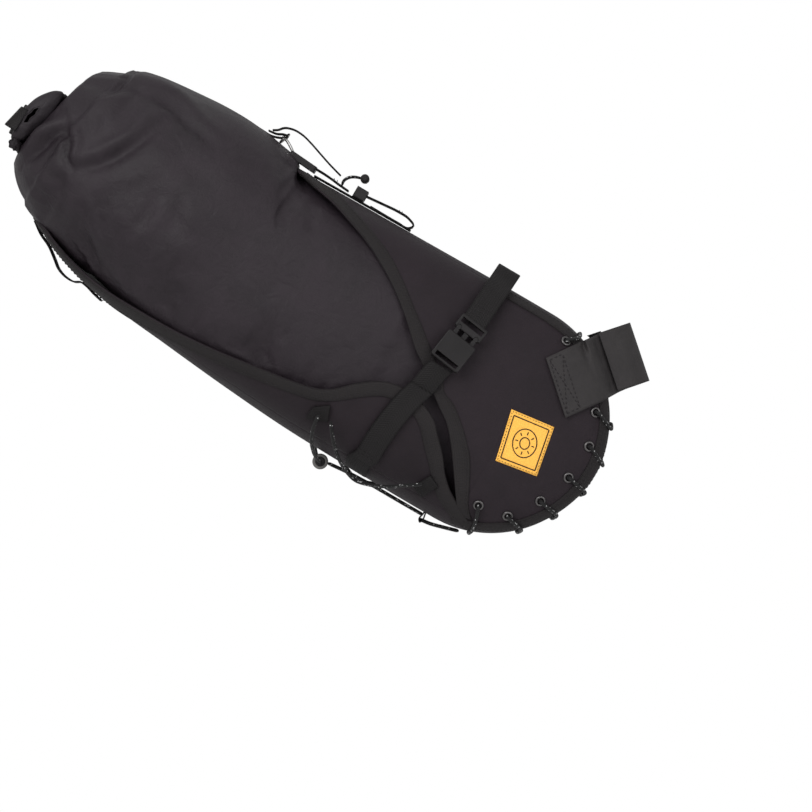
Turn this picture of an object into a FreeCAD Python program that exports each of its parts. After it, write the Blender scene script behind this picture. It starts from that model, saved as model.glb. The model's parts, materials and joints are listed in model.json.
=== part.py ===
import FreeCAD, Part
import math
import os

# Saddle bag: a stiff-based fabric holster that hangs from the saddle rails and the seatpost,
# with a removable roll-top dry bag.  Millimetres, +X forward, +Y to the rider's left, +Z up,
# origin on the seatpost axis at mid height of the seatpost strap.
#
# Two working frames are used below.
#   bag frame:  x runs forward along the bag, z across it, origin at the centre of the round nose.
#   post frame: x runs forward from the seatpost axis, z up along the post.

Vector = FreeCAD.Vector
Placement = FreeCAD.Placement
Rotation = FreeCAD.Rotation
AXIS_X = Vector(1, 0, 0)
AXIS_Y = Vector(0, 1, 0)
AXIS_Z = Vector(0, 0, 1)
RIGHT = -1
LEFT = 1

DIMENSIONS = [
    ("bag_tilt", 30.5),            # degrees, bag axis below horizontal
    ("nose_x", -102.5),            # nose centre, in the row frame
    ("nose_z", -49.8),
    ("nose_radius", 95.5),
    ("cloth", 1.6),                # thickness of the holster cloth
    ("gap", 0.1),                  # space kept between sewn layers
    ("binding", 1.0),
    ("centre_half", 34),           # half width of the top panel and the nose gusset
    ("base_half", 44),
    ("webbing_width", 20),
    ("webbing_ply", 1.4),
    ("eyelet_radius", 4.3),
    ("eyelet_bore", 2.3),
    ("eyelet_height", 1.3),
    ("cord_radius", 1.5),
    ("post_lean", 18.5),
    ("post_pad_bore", 15.85),
    ("post_pad_ply", 1.2),
    ("post_pad_length", 46),
    ("post_pad_arc", 124),
    ("post_strap_width", 50),
    ("post_strap_ply", 1.6),
    ("rail_bore", 3.55),
    ("rail_half_spacing", 26),
    ("rail_height", 104),          # in the bag frame
    ("buckle_width", 27),
    ("buckle_depth", 8.5),
    ("buckle_shell", 25),          # length of the socket half
    ("buckle_wall", 1.45),
    ("buckle_base", 12),           # length of the plug's webbing end
    ("buckle_reach", 20),          # length of the plug's arms
    ("buckle_bar", 21),            # slot width for 20 mm webbing
    ("lock_length", 25),
    ("lock_width", 25),
    ("lock_depth", 5),
    ("lock_slot", 21),
    ("hook_wire", 1.2),
    ("ring_radius", 4.6),
    ("ring_wire", 1.1),
    ("toggle_radius", 3.7),
    ("toggle_length", 12),
    ("cord_lock_radius", 6.4),
    ("cord_lock_length", 11),
    ("button_travel", 4),
    ("neck_half", 60),             # half length of the rolled closure
]

doc = FreeCAD.newDocument("saddle_bag")
dims = doc.addObject("Spreadsheet::Sheet", "dims")
for row, (alias, value) in enumerate(DIMENSIONS, 1):
    dims.set(f"A{row}", alias)
    dims.set(f"B{row}", str(value))
    dims.setAlias(f"B{row}", alias)
doc.recompute()

nodes = []


def size(alias):
    return float(getattr(dims, alias))


def side_name(side):
    return "right" if side == RIGHT else "left"


BAG = Placement(Vector(size("nose_x"), 0, size("nose_z")), Rotation(AXIS_Y, size("bag_tilt")))
POST = Placement(Vector(0, 0, 0), Rotation(AXIS_Y, -size("post_lean")))


# ---------------------------------------------------------------- document helpers

def finish_node(obj, label, placement):
    """Name a finished sub-part, place it and list it for export."""
    obj.Label = label
    obj.Placement = placement.multiply(obj.Placement)
    nodes.append(obj)
    return obj


def shape_node(label, shape, placement=BAG):
    obj = doc.addObject("Part::Feature", label)
    obj.Shape = shape
    return finish_node(obj, label, placement)


def sized(kind, name, base=(0, 0, 0), turn=None, **sizes):
    """A Part primitive whose sizes are expressions over the sheet."""
    obj = doc.addObject(kind, name)
    for prop, rule in sizes.items():
        obj.setExpression(prop, rule)
    obj.Placement = Placement(Vector(*base), turn or Rotation())
    return obj


def cut(name, base, tools):
    """The base with every tool taken away, one Part::Cut after another."""
    for index, tool in enumerate(tools):
        step = doc.addObject("Part::Cut", f"{name}_cut{index}")
        step.Base = base
        step.Tool = tool
        base = step
    return base


def fuse(name, pieces):
    joined = doc.addObject("Part::MultiFuse", f"{name}_fuse")
    joined.Shapes = pieces
    joined.Refine = True
    return joined


def rounded(name, base, radius, choose):
    """Fillet the edges of base that choose(edge) accepts."""
    doc.recompute()
    picked = [(i, radius, radius) for i, edge in enumerate(base.Shape.Edges, 1) if choose(edge)]
    blend = doc.addObject("Part::Fillet", f"{name}_fillet")
    blend.Base = base
    blend.Edges = picked
    return blend


# ---------------------------------------------------------------- soft shapes

RING_POINTS = 24


def section_ring(x, top, bottom, half_width, squareness, grow):
    """One rounded cross-section of the bag as a closed spline."""
    middle = (top + bottom) / 2
    half_height = (top - bottom) / 2 + grow
    points = []
    for step in range(RING_POINTS):
        angle = 2 * math.pi * step / RING_POINTS
        rise = math.cos(angle)
        across = math.sin(angle)
        y = (half_width + grow) * math.copysign(abs(across) ** (2 / squareness), across)
        z = middle + half_height * math.copysign(abs(rise) ** (2 / squareness), rise)
        points.append(Vector(x, y, z))
    curve = Part.BSplineCurve()
    curve.interpolate(points, PeriodicFlag=True)
    return Part.Wire([curve.toShape()])


# Sections: place along the bag, top, bottom, half width, squareness of the corners.
HOLSTER_BODY = [
    (-404, 90, -49, 62, 3.4),
    (-380, 91, -61, 70, 3.4),
    (-350, 91, -71.5, 76, 3.3),
    (-310, 92, -79.5, 82, 3.1),
    (-260, 92, -84.5, 85, 3.0),
    (-200, 93.5, -90, 82, 2.8),
    (-140, 94.5, -94, 78.5, 2.7),
    (-80, 95.5, -95.3, 72.5, 2.7),
    (-30, 96.7, -95.6, 65.5, 2.8),
    (0, 96.5, -95, 61, 3.0),
]
# The nose closes along an arc: angle from upright, half width, squareness.
HOLSTER_NOSE = [(18, 57, 3.1), (32, 53, 3.3), (44, 49.5, 3.3), (56, 46, 3.2),
                (66, 42.5, 3.1), (74, 39, 2.9), (80, 36, 2.6)]
NOSE_STRETCH = 0.985               # the nose is a little shorter than its radius

DRY_BAG = [
    (-446, 60, -12, 44, 2.3),
    (-430, 71, -30, 58, 2.3),
    (-415, 79.5, -42, 67, 2.3),
    (-395, 90, -49, 74, 2.3),
    (-370, 98.5, -57.3, 79, 2.3),
    (-340, 103, -67, 82, 2.3),
    (-300, 104, -76.3, 83.3, 2.3),
    (-265, 100.5, -80.3, 81.5, 2.3),
    (-243, 89.5, -83, 80, 2.3),
    (-200, 75, -86.3, 77.5, 2.4),
    (-150, 59, -89.3, 73, 2.5),
    (-100, 43, -90.8, 66.5, 2.5),
    (-50, 27, -91, 60, 2.5),
    (0, 11, -89.5, 52, 2.5),
    (40, -2, -79, 43, 2.4),
    (60, -14, -66, 32, 2.2),
]


def holster_sections():
    rows = list(HOLSTER_BODY)
    radius = size("nose_radius")
    for angle, half_width, squareness in HOLSTER_NOSE:
        turn = math.radians(angle)
        x = radius * NOSE_STRETCH * math.sin(turn)
        height = radius * math.cos(turn)
        rows.append((x, height + 0.5, -height, half_width, squareness))
    return rows


def loft(rows, grow):
    """A closed solid through the sections, grown outwards by a cloth thickness."""
    first = rows[0][0]
    last = rows[-1][0]
    wires = []
    for x, top, bottom, half_width, squareness in rows:
        place = x
        if x == first:
            place = x - grow
        elif x > 0:
            place = x + grow * x / last
        wires.append(section_ring(place, top, bottom, half_width, squareness, grow))
    return Part.makeLoft(wires, True, False)


form_cache = {}


def holster_form(grow):
    if grow not in form_cache:
        form_cache[grow] = loft(holster_sections(), grow)
    return form_cache[grow]


def skin(region, outer, thickness):
    """The layer of cloth whose outside is `outer` beyond the holster, inside a region."""
    return region.common(holster_form(outer)).cut(holster_form(outer - thickness))


def curve_edges(points):
    """A smooth edge through points given as (x, z) in the bag frame."""
    curve = Part.BSplineCurve()
    curve.interpolate([Vector(x, 0, z) for x, z in points])
    return curve.toShape()


def slab(smooth, corners, low, high):
    """A region between y = low and y = high: a smooth side, closed by straight corners."""
    edges = [curve_edges(smooth)] if len(smooth) > 2 else [Part.makeLine(
        Vector(smooth[0][0], 0, smooth[0][1]), Vector(smooth[1][0], 0, smooth[1][1]))]
    path = [smooth[-1]] + corners + [smooth[0]]
    for (x0, z0), (x1, z1) in zip(path, path[1:]):
        edges.append(Part.makeLine(Vector(x0, 0, z0), Vector(x1, 0, z1)))
    face = Part.Face(Part.Wire(edges))
    solid = face.extrude(Vector(0, high - low, 0))
    solid.translate(Vector(0, low, 0))
    return solid


def side_slab(smooth, corners, side, inner, outer=200):
    """The same region on one side only, from |y| = inner outwards."""
    low, high = sorted((side * inner, side * outer))
    return slab(smooth, corners, low, high)


def surface_point(x, z, side, outer=0.0):
    """Where the holster's outside passes a side-view position."""
    line = Part.makeLine(Vector(x, side * 150, z), Vector(x, 0, z))
    inside = line.common(holster_form(outer))
    return max((v.Point for v in inside.Vertexes), key=lambda p: abs(p.y))


def surface_normal(x, z, side):
    reach = 2.0
    along = surface_point(x + reach, z, side) - surface_point(x - reach, z, side)
    up = surface_point(x, z + reach, side) - surface_point(x, z - reach, side)
    normal = along.cross(up).normalize()
    return normal if normal.y * side > 0 else normal * -1


def tube(points, radius):
    """A round cord through points."""
    curve = Part.BSplineCurve()
    curve.interpolate([Vector(*p) for p in points])
    path = Part.Wire([curve.toShape()])
    start = curve.value(curve.FirstParameter)
    heading = curve.tangent(curve.FirstParameter)[0]
    profile = Part.Wire([Part.Circle(start, heading, radius).toShape()])
    return path.makePipeShell([profile], True, False)


def ribbon(points, width, ply, middle=0.0):
    """Flat webbing, `width` across y, that follows (x, z) points."""
    curve = Part.BSplineCurve()
    curve.interpolate([Vector(x, middle, z) for x, z in points])
    start = curve.value(curve.FirstParameter)
    heading = curve.tangent(curve.FirstParameter)[0]
    lift = heading.cross(AXIS_Y).normalize() * (ply / 2)
    across = AXIS_Y * (width / 2)
    corners = [start + lift + across, start + lift - across, start - lift - across,
               start - lift + across]
    profile = Part.makePolygon(corners + [corners[0]])
    return Part.Wire([curve.toShape()]).makePipeShell([profile], True, False)


def wrapped(points, width, ply, middle):
    """Strap that stands upright in its frame and follows (x, y) points, `width` along z."""
    curve = Part.BSplineCurve()
    curve.interpolate([Vector(x, y, middle) for x, y in points])
    start = curve.value(curve.FirstParameter)
    heading = curve.tangent(curve.FirstParameter)[0]
    aside = heading.cross(AXIS_Z).normalize() * (ply / 2)
    up = AXIS_Z * (width / 2)
    corners = [start + aside + up, start + aside - up, start - aside - up, start - aside + up]
    profile = Part.makePolygon(corners + [corners[0]])
    return Part.Wire([curve.toShape()]).makePipeShell([profile], True, False)


# ---------------------------------------------------------------- holster cloth

# Rear edge of the front cover, from the mouth down to the nose's underside.
FRONT_EDGE = [(-240, 97), (-180, 77), (-140, 59), (-100, 31), (-71, 7), (-47, -12),
              (-20, -36), (6, -71)]
FRONT_STITCH = [(-225, 97), (-180, 86), (-140, 69.5), (-100, 43), (-70, 20), (-47, 0),
                (-10, -27), (10, -55), (19, -74)]
FRONT_FOOT = [(30, -82.3), (56, -84.4), (120, -84.4)]
# Upper edge of the base's wings, from the tip of the tongue to the nose's underside.
WING_EDGE = [(-404, -49), (-380, -57), (-340, -68.5), (-300, -72), (-220, -68), (-150, -57),
             (-120, -45), (-100, -27), (-78, -18), (-50, -22), (-20, -48), (2, -72),
             (30, -84), (56, -86)]
WING_STITCH = [(-404, -57), (-380, -65), (-340, -76.5), (-300, -80), (-220, -76.5), (-150, -66),
               (-118, -55), (-98, -38), (-78, -30), (-54, -34), (-26, -58), (-4, -81), (30, -92),
               (56, -94)]
BELOW = -130
ABOVE = 130
MOUTH_X = -240
TOP_SEAM_X = -20
NOSE_SEAM_X = 40


def make_side_panel(side):
    region = side_slab(FRONT_EDGE, FRONT_FOOT + [(120, ABOVE), (-240, ABOVE)], side,
                       size("centre_half") + size("gap"))
    shape_node(f"side_panel_{side_name(side)}", skin(region, 0.0, size("cloth")))


def make_top_panel():
    half = size("centre_half")
    region = slab([(MOUTH_X, 40), (MOUTH_X, ABOVE)], [(TOP_SEAM_X, ABOVE), (TOP_SEAM_X, 40)],
                  -half, half)
    shape_node("top_panel", skin(region, 0.0, size("cloth")))


def make_nose_gusset():
    half = size("centre_half")
    start = TOP_SEAM_X + size("gap")
    bottom = NOSE_SEAM_X + size("gap")
    region = slab([(start, 20), (start, ABOVE)],
                  [(120, ABOVE), (120, BELOW), (bottom, BELOW), (bottom, 20)], -half, half)
    shape_node("nose_gusset", skin(region, 0.0, size("cloth")))


def below_wing_edge(low, high):
    return slab(WING_EDGE, [(56, BELOW), (-410, BELOW), (-410, -49)], low, high)


TONGUE_X = -300


def make_base_panel():
    half = size("base_half")
    region = below_wing_edge(-120, 120)
    outside = Part.makeBox(180 - TONGUE_X, 80, 200, Vector(TONGUE_X, half, BELOW - 20))
    outside = outside.fuse(outside.mirror(Vector(0, 0, 0), AXIS_Y))
    front = Part.makeBox(60, 300, 200, Vector(NOSE_SEAM_X, -150, BELOW - 20))
    shape_node("base_panel", skin(region.cut(outside).cut(front), 0.0, size("cloth")))


def make_wing_panel(side):
    region = side_slab(WING_EDGE, [(56, BELOW), (-410, BELOW), (-410, -49)], side,
                       size("base_half") + size("gap"))
    rear = Part.makeBox(200, 400, 200, Vector(TONGUE_X + size("gap") - 200, -200, BELOW - 20))
    shape_node(f"wing_panel_{side_name(side)}", skin(region.cut(rear), 0.0, size("cloth")))


STIFFENER_REAR = -385
STIFFENER_FRONT = 20
STIFFENER_HALF = 40
STIFFENER_PLY = 1.2


def make_base_stiffener():
    """Plastic sheet that lies inside the base and keeps the tongue from drooping."""
    region = slab([(STIFFENER_REAR, 0), (STIFFENER_REAR, BELOW)],
                  [(STIFFENER_FRONT, BELOW), (STIFFENER_FRONT, 0)],
                  -STIFFENER_HALF, STIFFENER_HALF)
    under_edge = below_wing_edge(-STIFFENER_HALF, STIFFENER_HALF)
    outer = -size("cloth") - size("gap")
    shape_node("base_stiffener", skin(region.common(under_edge), outer, STIFFENER_PLY))


def band(edge, stitch, side, inner, outer):
    """The strip between an edge and its stitch line, laid over the cloth."""
    back = list(reversed(stitch))
    region_edges = [curve_edges(edge), Part.makeLine(Vector(edge[-1][0], 0, edge[-1][1]),
                                                      Vector(back[0][0], 0, back[0][1])),
                    curve_edges(back), Part.makeLine(Vector(back[-1][0], 0, back[-1][1]),
                                                     Vector(edge[0][0], 0, edge[0][1]))]
    face = Part.Face(Part.Wire(region_edges))
    low, high = sorted((side * inner, side * outer))
    region = face.extrude(Vector(0, high - low, 0))
    region.translate(Vector(0, low, 0))
    layer = size("gap") + size("binding")
    return skin(region, layer, size("binding"))


def make_front_binding(side):
    shape_node(f"front_binding_{side_name(side)}", band(FRONT_EDGE, FRONT_STITCH, side, 12, 200))


def make_wing_binding(side):
    shape_node(f"wing_binding_{side_name(side)}", band(WING_EDGE, WING_STITCH, side, 20, 200))


NOSE_BAND_WIDTH = 9
NOSE_BAND_TOP = 100                # degrees round the nose, from straight ahead
NOSE_BAND_BOTTOM = -50


def nose_point(angle, radius):
    turn = math.radians(angle)
    return (radius * NOSE_STRETCH * math.cos(turn), radius * math.sin(turn))


def make_nose_binding(side):
    """Binding on the seam between a side panel and the nose gusset."""
    radius = size("nose_radius") - NOSE_BAND_WIDTH
    steps = [NOSE_BAND_TOP + (NOSE_BAND_BOTTOM - NOSE_BAND_TOP) * i / 6 for i in range(7)]
    inner_arc = [nose_point(angle, radius) for angle in steps]
    far = [nose_point(angle, 190) for angle in (NOSE_BAND_BOTTOM, 0, 60, NOSE_BAND_TOP)]
    region = side_slab(inner_arc, far, side, size("centre_half") - 4)
    layer = size("gap") + size("binding")
    shape_node(f"nose_binding_{side_name(side)}", skin(region, layer, size("binding")))


# ---------------------------------------------------------------- eyelets and lacing

# Degrees round the nose of each eyelet, its radius, and where its lace passes the nose edge.
# The seatpost strap is sewn in the gap after the first one.
EYELETS = [(78, 80.5, 73.5), (32, 81.5, 25.5), (13, 80.5, 7.3), (-9, 78.5, -11.3),
           (-30.5, 78, -29), (-51.5, 80.5, -47), (-69.5, 72, -70.7)]
EYELET_LIFT = 0.45                # the cloth curves a little under the flat flange


def make_eyelets():
    flange = sized("Part::Cylinder", "eyelet_flange", Radius="dims.eyelet_radius",
                   Height="dims.eyelet_height")
    bore = sized("Part::Cylinder", "eyelet_hole", base=(0, 0, -1), Radius="dims.eyelet_bore",
                 Height="dims.eyelet_height + 2")
    ring = cut("eyelet", flange, [bore])
    doc.recompute()
    copies = []
    for side in (RIGHT, LEFT):
        for angle, radius, _ in EYELETS:
            x, z = nose_point(angle, radius)
            normal = surface_normal(x, z, side)
            copy = ring.Shape.copy()
            copy.Placement = Placement(surface_point(x, z, side) + normal * EYELET_LIFT,
                                       Rotation(AXIS_Z, normal))
            copies.append(copy)
    shape_node("eyelets", Part.makeCompound(copies))


def nose_skin_point(angle, y, lift):
    """A point above the nose at an angle round it and a distance from the centre plane."""
    x, z = nose_point(angle, 150)
    line = Part.makeLine(Vector(0, y, 0), Vector(x, y, z))
    inside = line.common(holster_form(0.0))
    reach = max((v.Point for v in inside.Vertexes), key=lambda p: math.hypot(p.x, p.z))
    outward = Vector(x, 0, z).normalize()
    return reach + outward * lift


def lace_path(angle, radius, edge_angle):
    """From one side's eyelet, over the nose edge and across to the other side."""
    x, z = nose_point(angle, radius)
    half = [surface_point(x, z, LEFT) + surface_normal(x, z, LEFT) * 4.2,
            nose_skin_point(edge_angle, 34, 3.9), nose_skin_point(edge_angle, 18, 3.1)]
    middle = [nose_skin_point(edge_angle, 0, 2.8)]
    other = [Vector(p.x, -p.y, p.z) for p in reversed(half)]
    return half + middle + other


def make_nose_lace():
    cords = []
    for eyelet in EYELETS:
        cords.append(tube([tuple(p) for p in lace_path(*eyelet)], size("cord_radius")))
    shape_node("nose_lace", Part.makeCompound(cords))


LABEL_CORNERS = [(9, 12), (46, 17), (54, -24), (19, -30)]


def make_label_patch():
    region = side_slab(LABEL_CORNERS[:2], LABEL_CORNERS[2:], RIGHT, 10)
    shape_node("label_patch", skin(region, size("gap") + size("binding"), size("binding")))


# ---------------------------------------------------------------- side straps and buckles

SIDE_WEBBING_LINE = [(-74, -110), (-72.5, -80), (-69, -40), (-60, 0), (-57.4, 12.5)]
TAIL_LINE = [(-72.6, -82), (-69, -40), (-60, 0), (-58.5, 7)]


def webbing_layer(line, side, plies):
    """One ply of webbing along a side-view line, with some plies of it already below."""
    half = size("webbing_width") / 2
    rear = [(x - half, z) for x, z in line]
    front = [(x + half, z) for x, z in reversed(line)]
    layer = (1 + plies) * (size("gap") + size("webbing_ply")) + size("gap") + size("binding")
    return skin(side_slab(rear, front, side, 30), layer, size("webbing_ply"))


def make_side_webbing(side):
    """Webbing sewn under the base, up to the buckle's socket half, and its tail folded back."""
    plies = [webbing_layer(SIDE_WEBBING_LINE, side, 0), webbing_layer(TAIL_LINE, side, 1)]
    shape_node(f"side_webbing_{side_name(side)}", Part.makeCompound(plies))


BUCKLE_X = -53.5
BUCKLE_Z = 35.5
BUCKLE_LEAN = 8.0                  # degrees the strap leans forward as it rises
BUCKLE_INWARD = 7.0                # degrees it leans in towards the rail
BUCKLE_STANDOFF = 3.4


def side_buckle_frame(side):
    """x across the strap, y up along it, z out from the bag."""
    seat = surface_point(BUCKLE_X, BUCKLE_Z, side) + Vector(0, side * BUCKLE_STANDOFF, 0)
    lean = math.radians(BUCKLE_LEAN)
    inward = math.radians(BUCKLE_INWARD)
    along = Vector(math.sin(lean), -side * math.sin(inward), math.cos(lean)).normalize()
    outward = Vector(0, side, 0)
    across = along.cross(outward).normalize()
    outward = across.cross(along).normalize()
    turn = FreeCAD.Matrix(across.x, along.x, outward.x, seat.x,
                          across.y, along.y, outward.y, seat.y,
                          across.z, along.z, outward.z, seat.z, 0, 0, 0, 1)
    return BAG.multiply(Placement(turn))


# Places along the buckle, from its middle: the socket half is below, the plug above.
SHELL_END = -21.0
SOCKET_SLOT_START, SOCKET_SLOT_LENGTH = -19.2, 3.6
CAVITY_END = -13.0
WINDOW_START, WINDOW_LENGTH = -9.0, 8.0
BASE_START = 9.0
PLUG_SLOT_START, PLUG_SLOT_LENGTH = 14.2, 4.4
CAVITY_CLEARANCE = 4.8             # how much narrower the cavity is than the shell
GUIDE_WIDTH = 4.0
ARM_WIDTH = 3.4
ARM_INNER = 6.6                    # from the centre line to an arm's inner face
PRESS_WIDTH, PRESS_LENGTH, PRESS_START = 1.95, 7.0, -8.6
PIVOT_OFFSET = 8.4
PIVOT_LIFT = 0.9
PIVOT_RADIUS = 2.0


def make_socket(name, placement):
    """The half of a side-release buckle that the arms plug into."""
    shell = sized("Part::Box", f"{name}_shell", Length="dims.buckle_width",
                  Width="dims.buckle_shell", Height="dims.buckle_depth",
                  base=(-size("buckle_width") / 2, SHELL_END, 0))
    shell = rounded(f"{name}_shell", shell, 2.2, lambda e: abs(e.BoundBox.ZLength) > 8)
    shell = rounded(f"{name}_rim", shell, 1.0, lambda e: e.BoundBox.ZLength < 0.01)
    inner = size("buckle_width") - CAVITY_CLEARANCE
    wall = size("buckle_wall")
    hollow = "dims.buckle_depth - 2 * dims.buckle_wall"
    cavity = sized("Part::Box", f"{name}_cavity", base=(-inner / 2, CAVITY_END, wall),
                   Length=f"dims.buckle_width - {CAVITY_CLEARANCE}", Width="dims.buckle_shell",
                   Height=hollow)
    windows = sized("Part::Box", f"{name}_windows", Length="2 * dims.buckle_width",
                    base=(-size("buckle_width"), WINDOW_START, wall), Width=str(WINDOW_LENGTH),
                    Height=hollow)
    slot = sized("Part::Box", f"{name}_slot", Length="dims.buckle_bar",
                 base=(-size("buckle_bar") / 2, SOCKET_SLOT_START, -size("buckle_depth")),
                 Width=str(SOCKET_SLOT_LENGTH), Height="3 * dims.buckle_depth")
    finish_node(cut(name, shell, [cavity, windows, slot]), name, placement)


def make_plug(name, placement):
    """The half with the webbing bar and the centre guide."""
    base = sized("Part::Box", f"{name}_base", Length="dims.buckle_width - 2",
                 Width="dims.buckle_base", Height="dims.buckle_depth - 2.4",
                 base=(1 - size("buckle_width") / 2, BASE_START, 1.2))
    base = rounded(f"{name}_base", base, 2.0, lambda e: abs(e.BoundBox.ZLength) > 5)
    base = rounded(f"{name}_rim", base, 0.9, lambda e: e.BoundBox.ZLength < 0.01)
    below = -size("buckle_depth")
    slot = sized("Part::Box", f"{name}_slot", Length="dims.buckle_bar",
                 base=(-size("buckle_bar") / 2, PLUG_SLOT_START, below),
                 Width=str(PLUG_SLOT_LENGTH), Height="3 * dims.buckle_depth")
    guide = sized("Part::Box", f"{name}_guide", Length=str(GUIDE_WIDTH),
                  base=(-GUIDE_WIDTH / 2, BASE_START - size("buckle_reach"), 2.7),
                  Width="dims.buckle_reach + 1", Height="3.1")
    sockets = [sized("Part::Cylinder", f"{name}_socket", Radius=f"{PIVOT_RADIUS} + 0.15",
                     Height="3 * dims.buckle_depth",
                     base=(side * PIVOT_OFFSET, BASE_START + PIVOT_LIFT, below))
               for side in (-1, 1)]
    finish_node(fuse(name, [cut(name, base, [slot] + sockets), guide]), name, placement)


def make_arm(name, placement, hand):
    """One springy arm of the plug, round at its root, thicker where a finger presses it."""
    low = 2.0
    depth = "dims.buckle_depth - 3.9"
    pad_inner = 9.0
    inner = ARM_INNER if hand > 0 else -ARM_INNER - ARM_WIDTH
    pad = pad_inner if hand > 0 else -pad_inner - PRESS_WIDTH
    reach = BASE_START - size("buckle_reach")
    blade = sized("Part::Box", f"{name}_blade", base=(inner, reach, low), Length=str(ARM_WIDTH),
                  Width="dims.buckle_reach - 1.2", Height=depth)
    press = sized("Part::Box", f"{name}_press", base=(pad, PRESS_START, low),
                  Length=str(PRESS_WIDTH), Width=str(PRESS_LENGTH), Height=depth)
    root = sized("Part::Cylinder", f"{name}_root", Radius=str(PIVOT_RADIUS), Height=depth,
                 base=(hand * PIVOT_OFFSET, BASE_START + PIVOT_LIFT, low))
    neck = sized("Part::Box", f"{name}_neck", Length="2.2", Width="3", Height=depth,
                 base=(hand * PIVOT_OFFSET - 1.1, BASE_START - 2, low))
    finish_node(fuse(name, [blade, press, root, neck]), name, placement)


def make_buckle(prefix, placement):
    make_socket(f"{prefix}_socket", placement)
    make_plug(f"{prefix}_plug", placement)
    for hand, word in ((-1, "a"), (1, "b")):
        make_arm(f"{prefix}_arm_{word}", placement, hand)


# Height and distance out of the rail webbing, from the buckle up over the bag's shoulder.
RAIL_WEBBING_LINE = [(71.3, 58.5), (65.5, 70), (57, 81.5), (46, 92), (34.5, 100.3), (29.8, 103.2)]
RAIL_WEBBING_X = -48.6
RAIL_LEAN = 3.6


def make_rail_webbing(side):
    """Two plies of webbing from the plug, looped over the saddle rail."""
    ply = size("webbing_ply")
    width = size("webbing_width")
    centre = Vector(0, side * size("rail_half_spacing"), size("rail_height"))
    curve = Part.BSplineCurve()
    curve.interpolate([Vector(0, side * y, z) for y, z in RAIL_WEBBING_LINE])
    start = curve.value(curve.FirstParameter)
    heading = curve.tangent(curve.FirstParameter)[0]
    lift = heading.cross(AXIS_X).normalize() * ply
    across = AXIS_X * (width / 2)
    corners = [start + lift + across, start + lift - across, start - lift - across,
               start - lift + across]
    profile = Part.makePolygon(corners + [corners[0]])
    strap = Part.Wire([curve.toShape()]).makePipeShell([profile], True, False)
    loop_outer = Part.makeCylinder(size("rail_bore") + ply, width,
                                   centre - AXIS_X * (width / 2), AXIS_X)
    bore = Part.makeCylinder(size("rail_bore"), 2 * width, centre - AXIS_X * width, AXIS_X)
    shape = strap.fuse(loop_outer).cut(bore).removeSplitter()
    shape = max(shape.Solids, key=lambda s: s.Volume)
    lean = Placement(Vector(RAIL_WEBBING_X, 0, 0), Rotation())
    turn = Placement(Vector(0, 0, 0), Rotation(AXIS_Y, RAIL_LEAN), centre)
    shape.Placement = lean.multiply(turn)
    shape_node(f"rail_webbing_{side_name(side)}", shape)


# ---------------------------------------------------------------- seatpost strap

def make_post_pad():
    """Rubber pad between the nose and the post."""
    arc = size("post_pad_arc")
    turn = Rotation(AXIS_Z, 180 - arc / 2)
    base = (0, 0, -size("post_pad_length") / 2)
    outer = sized("Part::Cylinder", "pad_outer", Radius="dims.post_pad_bore + dims.post_pad_ply",
                  Height="dims.post_pad_length", Angle="dims.post_pad_arc", base=base, turn=turn)
    bore = sized("Part::Cylinder", "pad_bore", Radius="dims.post_pad_bore",
                 Height="dims.post_pad_length + 4", base=(0, 0, base[2] - 2))
    finish_node(cut("post_pad", outer, [bore]), "post_pad", POST)


PATCH_CORNERS = [(11.5, 60), (50, 28.5), (73, 59), (33, 91)]


def make_post_patch(side):
    """The strap's sewn end, flat on the side panel."""
    region = side_slab(PATCH_CORNERS[:2], PATCH_CORNERS[2:], side, 8)
    layer = 2 * size("gap") + size("binding") + size("post_strap_ply")
    shape_node(f"post_patch_{side_name(side)}", skin(region, layer, size("post_strap_ply")))


WRAP_RADIUS = 16.85
STRAP_MIDDLE = -3                  # the strap sits a little below the middle of the pad
STRAP_BEND = [(-27, 47), (-23.5, 43.6), (-20, 39), (-14, 24.5), (-9, 18.2), (-3, 17.0)]
LEFT_STRAP_END = 34                # degrees from straight ahead
FLAP_START = 25
FLAP_LEAVES = -62


def wrap_point(angle, radius=WRAP_RADIUS):
    turn = math.radians(angle)
    return (radius * math.cos(turn), radius * math.sin(turn))


def make_post_straps():
    """Both sides' straps from the bag to the post; the left one carries on to the front."""
    width = size("post_strap_width")
    ply = size("post_strap_ply")
    right = [(x, -y) for x, y in STRAP_BEND]
    shape_node("post_strap_right", wrapped(right, width, ply, STRAP_MIDDLE), POST)
    left = STRAP_BEND + [wrap_point(a) for a in (84, 67, 50, LEFT_STRAP_END)]
    shape_node("post_strap_left", wrapped(left, width, ply, STRAP_MIDDLE), POST)


def make_post_flap():
    """Free end of the left strap, round the post's front and closed on the right one."""
    arc = [wrap_point(a) for a in (FLAP_START, 5, -15, -35, FLAP_LEAVES + 7)]
    tail = [(4, -19.0), (-3, -21.3), (-10, -22.4)]
    width = size("post_strap_width")
    flap = wrapped(arc + tail, width, size("post_strap_ply"), STRAP_MIDDLE)
    shape_node("post_strap_flap", flap, POST)


def make_hook_patch():
    """Hook side of the hook-and-loop closure, on the outside of the right strap."""
    length, ply, height = 6, 0.8, size("post_strap_width") - 6
    corner = Vector(-8, -19.95, STRAP_MIDDLE - height / 2)
    patch = Part.makeBox(length, ply, height, corner)
    shape_node("hook_patch", patch, POST)


# ---------------------------------------------------------------- base cord

TAB_OUTLINES = [[(-128, -66), (-117, -58), (-112, -70), (-129, -76)],
                [(-27, -80), (-20, -66), (-10, -70), (-17, -84)]]
TAB_PLY = 1.2


def make_cord_tabs():
    """Webbing tabs sewn on the wings that the elastic cord hangs from."""
    layer = 2 * size("gap") + size("binding") + TAB_PLY
    tabs = []
    for side in (RIGHT, LEFT):
        for outline in TAB_OUTLINES:
            tabs.append(skin(side_slab(outline[:2], outline[2:], side, 20), layer, TAB_PLY))
    shape_node("cord_tabs", Part.makeCompound(tabs))


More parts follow.
